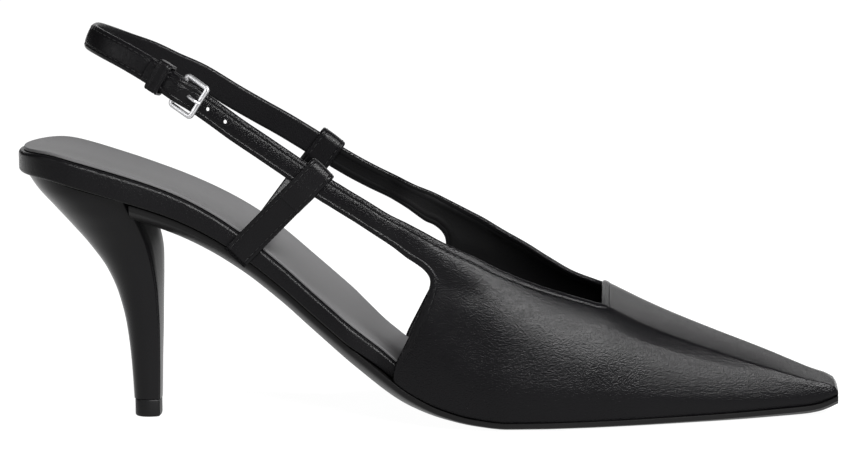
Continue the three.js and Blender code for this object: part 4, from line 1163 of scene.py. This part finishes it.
def roundedSides(lowRound, highRound, steps=6):
    turn = np.linspace(0, math.pi / 2, steps + 1)
    low = [(lowRound * (1 - math.sin(a)), -lowRound * (1 - math.cos(a)) - 1e-3) for a in turn]
    high = [(highRound * (1 - math.cos(a)), highRound * (1 - math.sin(a))) for a in turn]
    return low + high


band = makePiece("footbed_band", *planBody(
    lambda inset: seatStations(inset, 0.0, 0.95 * shoe["length"]),
    footbedHalf,
    roundedSides(footbed["lowRound"], footbed["highRound"]),
    footbedHeight,
), [calfStrap])
finishPiece(band, "upper_leather", "footbed")

sockSides = [(0.0, 0.9), (0.0, 0.35), (0.12, 0.12), (0.35, 0.0), (0.8, 0.02)]


def sockHeight(x, y, drop):
    return footbedTop(x, y) + shoe["gap"] + footbed["sockThickness"] - drop


sock = makePiece("sock_lining", *planBody(
    lambda inset: seatStations(inset + footbed["sockInset"], 0.0, 0.95 * shoe["length"]),
    lambda x, side, inset: footbedHalf(x, side, inset + footbed["sockInset"]),
    sockSides,
    sockHeight,
), [sockGrey])
finishPiece(sock, "sock_lining", "sock")

sole = {
    "waistDepth": 4.2,
    "start": 35.5,
    "tipStart": 236.0,
    "tipLength": 13.4,
}


def makeOutsole():
    tip = sole["tipStart"] + sole["tipLength"] * (1 - np.linspace(1, 0, 22)[1:] ** 1.5)
    stations = np.concatenate([np.linspace(sole["start"], sole["tipStart"], 130), tip])
    thickness = shoe["soleThickness"]
    edge = 0.48 * thickness
    turn = np.linspace(0, 1, 5)
    rings = []
    for x in stations:
        flat = float(bottom["flat"](x))
        depth = thickness + float(bottom["depth"](x)) * sole["waistDepth"]
        under = edge + 0.16 * thickness + 0.2 * (depth - thickness)
        section = []
        for side in (1, -1):
            half = float(halfWidth(x, side))
            rounded = 0.2 * thickness
            points = [(0.0, 0.0), (half * 0.4, 0.0), (half * 0.8, 0.0), (half - 0.25, 0.0), (half, 0.25)]
            points += [(half, edge * s) for s in (0.5, 0.8)]
            points += [(half - rounded * t * t, edge + (under - edge) * t) for t in turn]
            bevel = [(half * (0.5 + flat / 2), under + 0.8 * (depth - under)), (half * flat, depth)]
            ends = (half, edge), (half * flat * 0.6, depth)
            line = smoothLine([ends[0], (half - rounded, under), *bevel, ends[1]], 5)[5:-5]
            points += [tuple(p) for p in line[1:]]
            points += [(half * flat * 0.5, depth), (half * flat * 0.2, depth)]
            section.append([(side * y, drop) for y, drop in points])
        ring = section[0] + section[1][::-1][:-1]
        rings.append(np.array([[x, y, float(soleTop(x, y)) - drop] for y, drop in ring]))
    return loft(rings)


outsole = makePiece("outsole", *makeOutsole(), [soleLeather])
finishPiece(outsole, "sole_leather", "outsole")

# The heel from the seat down: places on its back and breast, its nose, width and corners
heel = {
    "width": 51.6,
    "breast": 42.4,
    "tipThickness": 5.5,
    "tipRound": 0.7,
    "widest": 0.62,
    "roundPower": 2.2,
}
heelColumns = ("z", "back", "front", "nose", "wide", "corner")
heelRows = [
    (1.080, 0.010, 0.760, 0.000, 1.000, 0.960),
    (0.973, 0.127, 0.800, 0.030, 0.966, 0.905),
    (0.892, 0.250, 0.849, 0.070, 0.864, 0.784),
    (0.811, 0.373, 0.906, 0.084, 0.717, 0.628),
    (0.730, 0.491, 0.948, 0.078, 0.585, 0.488),
    (0.622, 0.620, 0.979, 0.052, 0.457, 0.372),
    (0.514, 0.698, 0.995, 0.030, 0.361, 0.296),
    (0.378, 0.752, 1.000, 0.018, 0.284, 0.236),
    (0.216, 0.781, 0.996, 0.010, 0.230, 0.192),
    (0.000, 0.800, 0.986, 0.006, 0.204, 0.172),
]
heelCurves = curvesOf(heelColumns, heelRows)


# Outline of the heel at a height: round at the back, a crisp corner at each side of the breast
def heelOutline(z, grow=0.0):
    share = z / shoe["heelRise"]
    back, front, nose, wide, corner = (float(heelCurves[name](share)) for name in heelColumns[1:])
    back = back * heel["breast"] - grow
    front = front * heel["breast"] + grow
    nose = nose * heel["breast"]
    wide = wide * heel["width"] / 2 + grow
    corner = corner * heel["width"] / 2 + grow
    middle = back + heel["widest"] * (front - back)
    power = 2 / heel["roundPower"]
    turn = np.linspace(0, math.pi / 2, 22)
    round = np.column_stack([middle - (middle - back) * np.maximum(np.cos(turn), 0) ** power,
                             wide * np.maximum(np.sin(turn), 0) ** power])
    cornerStart = (front - 0.25, corner * 0.985)
    cornerEnd = (front + nose * 0.22, corner * 0.84)
    waist = (front - 0.16 * (front - middle), corner + 0.35 * (wide - corner))
    side = smoothLine([(middle - 1.0, wide), (middle, wide), waist, cornerStart], 6)[7:]
    bend = smoothLine([cornerStart, (front, corner * 0.955), cornerEnd], 4)[1:]
    bow = [(front + nose * 0.55, corner * 0.58), (front + nose * 0.88, corner * 0.25), (front + nose, 0)]
    face = smoothLine([cornerEnd, *bow], 5)[1:]
    half = np.vstack([round, side, bend, face])
    return np.vstack([half, half[1:-1][::-1] * [1, -1]])


def makeHeel():
    low = heel["tipThickness"] + 0.05
    levels = np.linspace(low, 82.0, 150)
    outlines = np.array([heelOutline(z) for z in levels])
    count = outlines.shape[1]
    shares = np.linspace(0, 1, 90)
    rings = np.zeros((len(shares), count, 3))
    for i in range(count):
        line = np.column_stack([outlines[:, i], levels])
        above = line[:, 2] - (soleTop(line[:, 0], line[:, 1]) - 0.05)
        k = int(np.argmax(above > 0))
        part = above[k - 1] / (above[k - 1] - above[k])
        top = line[k - 1] + (line[k] - line[k - 1]) * part
        line = np.vstack([line[:k], top])
        heights = low + (top[2] - low) * shares
        for axis in range(2):
            rings[:, i, axis] = np.interp(heights, line[:, 2], line[:, axis])
        rings[:, i, 2] = heights
    return loft(list(rings))


heelPiece = makePiece("heel", *makeHeel(), [heelCover])
finishPiece(heelPiece, "heel_cover", "heel")


def makeHeelTip():
    top = heel["tipThickness"]
    turn = np.linspace(0, math.pi / 2, 7)
    levels = (heel["tipRound"] * (1 - np.column_stack([np.cos(turn), np.sin(turn)]))).tolist()
    levels += [(2.5, 0.0), (4.9, 0.0), (top - 0.25, 0.06), (top - 0.05, 0.22)]
    rings = []
    for z, inset in levels:
        outline = heelOutline(0.0, -inset)
        rings.append(np.column_stack([outline, np.full(len(outline), z)]))
    return loft(rings)


heelTip = makePiece("heel_tip_piece", *makeHeelTip(), [rubber])
finishPiece(heelTip, "top_piece", "heel_tip")


# A strip swept along the straps' line through some distances
def stripAlong(distances, profile):
    rings = []
    for distance in distances:
        point, run, up, out = (v[0] for v in strapFrame(distance))
        rings.append(point + up * profile[:, :1] + out * profile[:, 1:])
    return rings


# Height of a strip's outer face at a place across it
def faceHeight(profile, across):
    face = profile[profile[:, 1] > 0]
    face = face[np.argsort(face[:, 0])]
    return float(np.interp(across, face[:, 0], face[:, 1]))


slingSeams = [(-2.45, 0.45, 0.28), (2.75, 0.35, 0.16)]
slingProfile = stripProfile(strap["width"], strap["slingWall"], 0.85, slingSeams, vamp["strapCrown"])
slingDistances = np.arange(places["pinBar"] + eyeRadius * 0.6, places["loopInner"] - 0.4, skin["strapPitch"])
sling = makePiece("sling_strap", *loft(stripAlong(slingDistances, slingProfile)), [calfStrap])
finishPiece(sling, "upper_leather", "sling")
slingLines = []
for across, reach, depth in slingSeams:
    point, run, up, out = strapFrame(slingDistances[6:-8])
    height = faceHeight(slingProfile, across) + 0.3 * stitching["thickness"]
    slingLines.append(point + up * across + out * height)
sewLines("sling_stitches", slingLines, "upper_leather")


# Points round a rounded rectangle, with their outward directions
def roundedRectangle(width, height, radius, steps=8, straight=6):
    points, normals = [], []
    corners = [(1, 1, 0), (-1, 1, 90), (-1, -1, 180), (1, -1, 270)]
    for sx, sy, startAngle in corners:
        centre = np.array([sx * (width / 2 - radius), sy * (height / 2 - radius)])
        for k in range(steps + 1):
            angle = math.radians(startAngle + 90 * k / steps)
            normal = np.array([math.cos(angle), math.sin(angle)])
            points.append(centre + radius * normal)
            normals.append(normal)
    points, normals = np.array(points), np.array(normals)
    fullPoints, fullNormals = [], []
    for k in range(len(points)):
        a, b = points[k], points[(k + 1) % len(points)]
        fullPoints.append(a)
        fullNormals.append(normals[k])
        if np.linalg.norm(b - a) > 0.9 * radius and (k + 1) % (steps + 1) == 0:
            for s in np.linspace(0, 1, straight + 1)[1:-1]:
                fullPoints.append(a + (b - a) * s)
                fullNormals.append(normals[k])
    return np.array(fullPoints), np.array(fullNormals)


def makeKeeper():
    stack = strap["slingWall"] + 2 * shoe["gap"] + strap["wall"] + 0.1
    wall = buckle["keeperWall"]
    width = strap["width"] + 2 * shoe["gap"] + wall
    depth = stack + 2 * shoe["gap"] + wall
    middle = (shoe["gap"] + strap["wall"]) / 2
    line, normals = roundedRectangle(width, depth, 1.1)
    profile = stripProfile(buckle["keeperWidth"], wall, 0.38, [(-1.25, 0.3, 0.12), (1.25, 0.3, 0.12)])
    rings = []
    for (a, o), (na, no) in zip(line, normals):
        ring = []
        for w, t in profile:
            point, run, up, out = (v[0] for v in strapFrame(places["keeper"] + w))
            ring.append(point + up * (a + na * t) + out * (middle + o + no * t))
        rings.append(np.array(ring))
    return closedBand(rings)


keeper = makePiece("keeper_loop", *makeKeeper(), [calfStrap])
finishPiece(keeper, "upper_leather", "keeper")

# Tabs: where each crosses the footbed's top edge, and its slope seen from the side
tab = {
    "width": 8.4,
    "wall": 1.3,
    "round": 1.5,
    "seams": [(-3.0, 0.35, 0.16), (3.0, 0.35, 0.16)],
    "outer": {"foot": 0.288, "slope": 45},
    "inner": {"foot": 0.300, "slope": 52},
}


def meetStrap(knee, slope, side):
    distances = np.linspace(distanceAt(knee[0], side), distanceAt(knee[0] + strap["slingRise"], side), 400)
    point = strapFrame(distances)[0]
    to = point - knee
    miss = to[:, 2] * math.cos(slope) - to[:, 0] * math.sin(slope)
    return float(distances[int(np.argmin(np.abs(miss)))])


def makeTab(side):
    line = tab[sideNames[side]]
    slope = math.radians(line["slope"])
    wall = tab["wall"]
    rise = np.array([math.cos(slope), 0, math.sin(slope)])
    level = np.array([math.sin(slope), 0, -math.cos(slope)])
    x = line["foot"] * shoe["length"]
    y = side * (float(footbedHalf(x, side, 0)) + shoe["gap"] + wall / 2)
    knee = np.array([x, y, footbedTop(x, y) - 0.3 * wall])
    point, run, up, out = (v[0] for v in strapFrame(meetStrap(knee, slope, side)))
    deep = max(strap["wall"], strap["slingWall"]) + 2 * shoe["gap"]
    reach = (strap["width"] / 2 + shoe["gap"] + wall / 2) / abs(np.dot(rise, up))
    tilt = unit(rise - out * np.dot(rise, out))
    face = deep / 2 + wall / 2
    radius = min(face, tab["round"])
    high = reach - radius
    inner = face - wall

    # round the strap: up the front, over the top, down the back and in against the tail
    turn = np.linspace(0, math.pi / 2, 7)
    local = [(-reach - 0.4, face - 0.15)]
    local += [(h, face) for h in np.linspace(-reach + 1.0, high, 8)]
    local += [(high + radius * math.sin(a), face - radius + radius * math.cos(a)) for a in turn[1:]]
    local += [(high + radius * math.cos(a), radius - face - radius * math.sin(a)) for a in turn]
    local += [(h, -face) for h in np.linspace(high, -reach + 1.2, 8)[1:]]
    local += [(-reach - 0.4, -face + 0.8), (-reach - 1.6, inner - 1.0), (-reach - 3.0, inner - 0.1)]
    local += [(-reach - 5.0, inner - 0.05)]
    loop = [point + tilt * h + out * o for h, o in local]
    climb = loop[0] - knee
    tail = [knee - rise * drop for drop in (1.4 * footbed["thickness"], 5.0, 1.6)]
    tail += [knee + climb * share for share in (0.08, 0.3, 0.6, 0.86)]
    path = smoothLine([*tail, *loop], 4)
    lengths = lengthsAlong(path)
    path = resampled(path, np.arange(0, lengths[-1], 0.55))
    run = unit(np.gradient(path, axis=0))
    level = unit([level - r * np.dot(level, r) for r in run])
    faceOut = np.cross(run, level)
    if np.dot(faceOut[3], [0, side, 0]) < 0:
        faceOut = -faceOut
    profile = stripProfile(tab["width"], wall, 0.5, tab["seams"], 0.2)
    rings = [p + a * profile[:, :1] + f * profile[:, 1:] for p, a, f in zip(path, level, faceOut)]

    # the lower end is cut along the band's lower edge
    for k in range(8):
        for v in rings[k]:
            floor = float(soleTop(v[0], v[1])) + 0.25
            if v[2] < floor:
                v += rise * (floor - v[2]) / (rise[2] + 0.35 * rise[0])
    over = faceHeight(profile, tab["seams"][1][0]) + 0.3 * stitching["thickness"]
    sewn = [(path + level * across + faceOut * over)[12:-14] for across, reach, depth in tab["seams"]]
    return loft(rings), sewn


for side, name in ((-1, "tab_outer"), (1, "tab_inner")):
    tabShape, tabLines = makeTab(side)
    tabPiece = makePiece(name + "_strip", *tabShape, [calfStrap])
    finishPiece(tabPiece, "upper_leather", name)
    sewLines(name + "_stitches", tabLines, "upper_leather")


# A round bar swept along a path, given its radius along the way
def barAlong(path, radii, closed=False, squash=1.0, normal=(0, 0, 1), fullness=1.0):
    path = np.asarray(path, float)
    ahead = np.roll(path, -1, axis=0) - np.roll(path, 1, axis=0)
    run = unit(ahead if closed else np.gradient(path, axis=0))
    first = unit(np.array([normal] * len(path)) - run * (run @ np.array(normal, float))[:, None])
    second = np.cross(run, first)
    turn = np.linspace(0, 2 * math.pi, 17)[:-1]
    across = np.sign(np.cos(turn)) * np.abs(np.cos(turn)) ** fullness
    along = np.sign(np.sin(turn)) * np.abs(np.sin(turn)) ** fullness
    rings = []
    for p, a, b, radius in zip(path, first, second, np.broadcast_to(radii, len(path))):
        rings.append(p + radius * (squash * np.outer(across, a) + np.outer(along, b)))
    return closedBand(rings) if closed else loft(rings)


# From the buckle's own axes, x along the strap, y across it and z out, to the shoe
def onBuckle(points, tilt=0.0):
    point, run, up, out = (v[0] for v in strapFrame(places["pinBar"]))
    points = np.asarray(points, float)
    x = points[:, 0] * math.cos(tilt) + points[:, 2] * math.sin(tilt)
    z = -points[:, 0] * math.sin(tilt) + points[:, 2] * math.cos(tilt)
    return point + run * x[:, None] + up * points[:, 1:2] + out * z[:, None]


def makeBuckleFrame():
    rise = strap["wall"] / 2 + shoe["gap"] + buckle["bar"] / 2
    inside = strap["width"] + 2 * shoe["gap"]
    reach = math.hypot(buckle["reach"], rise)
    tilt = math.atan2(rise, buckle["reach"])
    size = buckle["bar"]
    line, ways = roundedRectangle(reach + size * 0.4, inside + size * 1.2, 0.9, 8, 8)
    ring = np.column_stack([line[:, 0] - reach / 2, line[:, 1], np.zeros(len(line))])
    framePart = barAlong(ring, size * 0.56, True, 0.8, fullness=0.6)
    half = (inside + size) / 2
    pin = np.column_stack([np.zeros(9), np.linspace(-half, half, 9), np.zeros(9)])
    points, faces = joined([framePart, barAlong(pin, size / 2 * 0.96)])
    return onBuckle(points, tilt), faces


frameOfBuckle = makePiece("buckle_frame_bar", *makeBuckleFrame(), [brightMetal])
finishPiece(frameOfBuckle, "buckle_metal", "buckle_frame")


def makeProng():
    rise = strap["wall"] / 2 + shoe["gap"] + buckle["bar"] + shoe["gap"] + buckle["prong"] / 2
    reach = buckle["reach"]
    start = buckle["bar"] / 2 + shoe["gap"] + buckle["prong"] / 2
    path = smoothLine([
        (-start, 0, 0),
        (-0.45 * reach, 0, 0.62 * rise),
        (-0.8 * reach, 0, 0.98 * rise + 0.2),
        (-reach, 0, rise + 0.2),
        (-reach - 0.9, 0, rise - 0.05),
    ], 12)
    t = np.linspace(0, 1, len(path))
    tip = np.maximum(t - 0.94, 0) / 0.06
    radii = buckle["prong"] / 2 * (1 - 0.25 * t) * np.sqrt(np.maximum(0.06, 1 - tip ** 2))
    turn = np.linspace(0, 2 * math.pi, 33)[:-1]
    ring = np.column_stack([start * np.cos(turn), np.zeros(32), start * np.sin(turn)])
    eye = barAlong(ring, buckle["prong"] / 2 * 0.9, True, normal=(0, 1, 0))
    points, faces = joined([barAlong(path, radii, normal=(0, 1, 0)), eye])
    return onBuckle(points), faces


prong = makePiece("buckle_prong_bar", *makeProng(), [brightMetal])
finishPiece(prong, "buckle_metal", "buckle_prong")

# Pale floor, soft studio light and the camera of the photograph
floorSize = 8.0
floorMesh = bpy.data.meshes.new("floor")
corners = [(-1, -1, 0), (1, -1, 0), (1, 1, 0), (-1, 1, 0)]
floorMesh.from_pydata([Vector(corner) * floorSize for corner in corners], [], [(0, 1, 2, 3)])
floorLook, tree, shader, place = newLook("paleFloor")
setInputs(shader, {
    "Base Color": (0.12, 0.12, 0.12, 1),
    "Roughness": 0.9,
    "Specular IOR Level": 0.0,
    "Emission Color": (1, 1, 1, 1),
    "Emission Strength": 0.97,
})
floorMesh.materials.append(floorLook)
inScene("floor", floorMesh)


def softBox(name, place, size, power):
    light = bpy.data.lights.new(name, "AREA")
    light.shape = "RECTANGLE"
    light.size, light.size_y = size
    light.energy = power
    lamp = inScene(name, light)
    lamp.location = place
    towards = Vector((0.0, 0.0, 0.04)) - Vector(place)
    lamp.rotation_euler = towards.to_track_quat("-Z", "Y").to_euler()


softBox("toeSideLight", (0.58, -0.83, 0.8), (1.15, 0.32), 66.0)
softBox("behindLight", (0.39, 1.45, 0.52), (2.2, 0.5), 4.6)
softBox("heelSideLight", (-1.15, -0.65, 0.62), (0.7, 0.4), 5.0)
world = bpy.data.worlds.new("studio")
bpy.context.scene.world = world
world.use_nodes = True
setInputs(world.node_tree.nodes["Background"], {"Color": (1, 1, 1, 1), "Strength": 0.05})

photoView = {
    "azimuth": 2.5,
    "elevation": 7.3,
    "roll": -0.8,
    "distance": 1600.0,
    "aim": (126.6, 0.0, 55.9),
    "pixelsPerMillimetre": 3.27,
    "imageWidth": 868,
}
turn, climb = math.radians(photoView["azimuth"]), math.radians(photoView["elevation"])
roll = math.radians(photoView["roll"])
back = Vector((math.sin(turn) * math.cos(climb), -math.cos(turn) * math.cos(climb), math.sin(climb)))
right = Vector((math.cos(turn), math.sin(turn), 0))
upward = back.cross(right)
across = right * math.cos(roll) + upward * math.sin(roll)
upward = upward * math.cos(roll) - right * math.sin(roll)
cameraData = bpy.data.cameras.new("photoCamera")
cameraData.sensor_width = 36.0
cameraData.lens = 36.0 * photoView["pixelsPerMillimetre"] * photoView["distance"] / photoView["imageWidth"]
cameraData.clip_start, cameraData.clip_end = 0.05, 30.0
camera = inScene("photoCamera", cameraData)
turned = Matrix((across, upward, back)).transposed().to_4x4()
aim = np.array(photoView["aim"]) + photoView["distance"] * np.array(back)
camera.matrix_world = Matrix.Translation(placed(aim)) @ turned
bpy.context.scene.camera = camera
bpy.context.scene.view_settings.view_transform = "Standard"

print("scene ready")
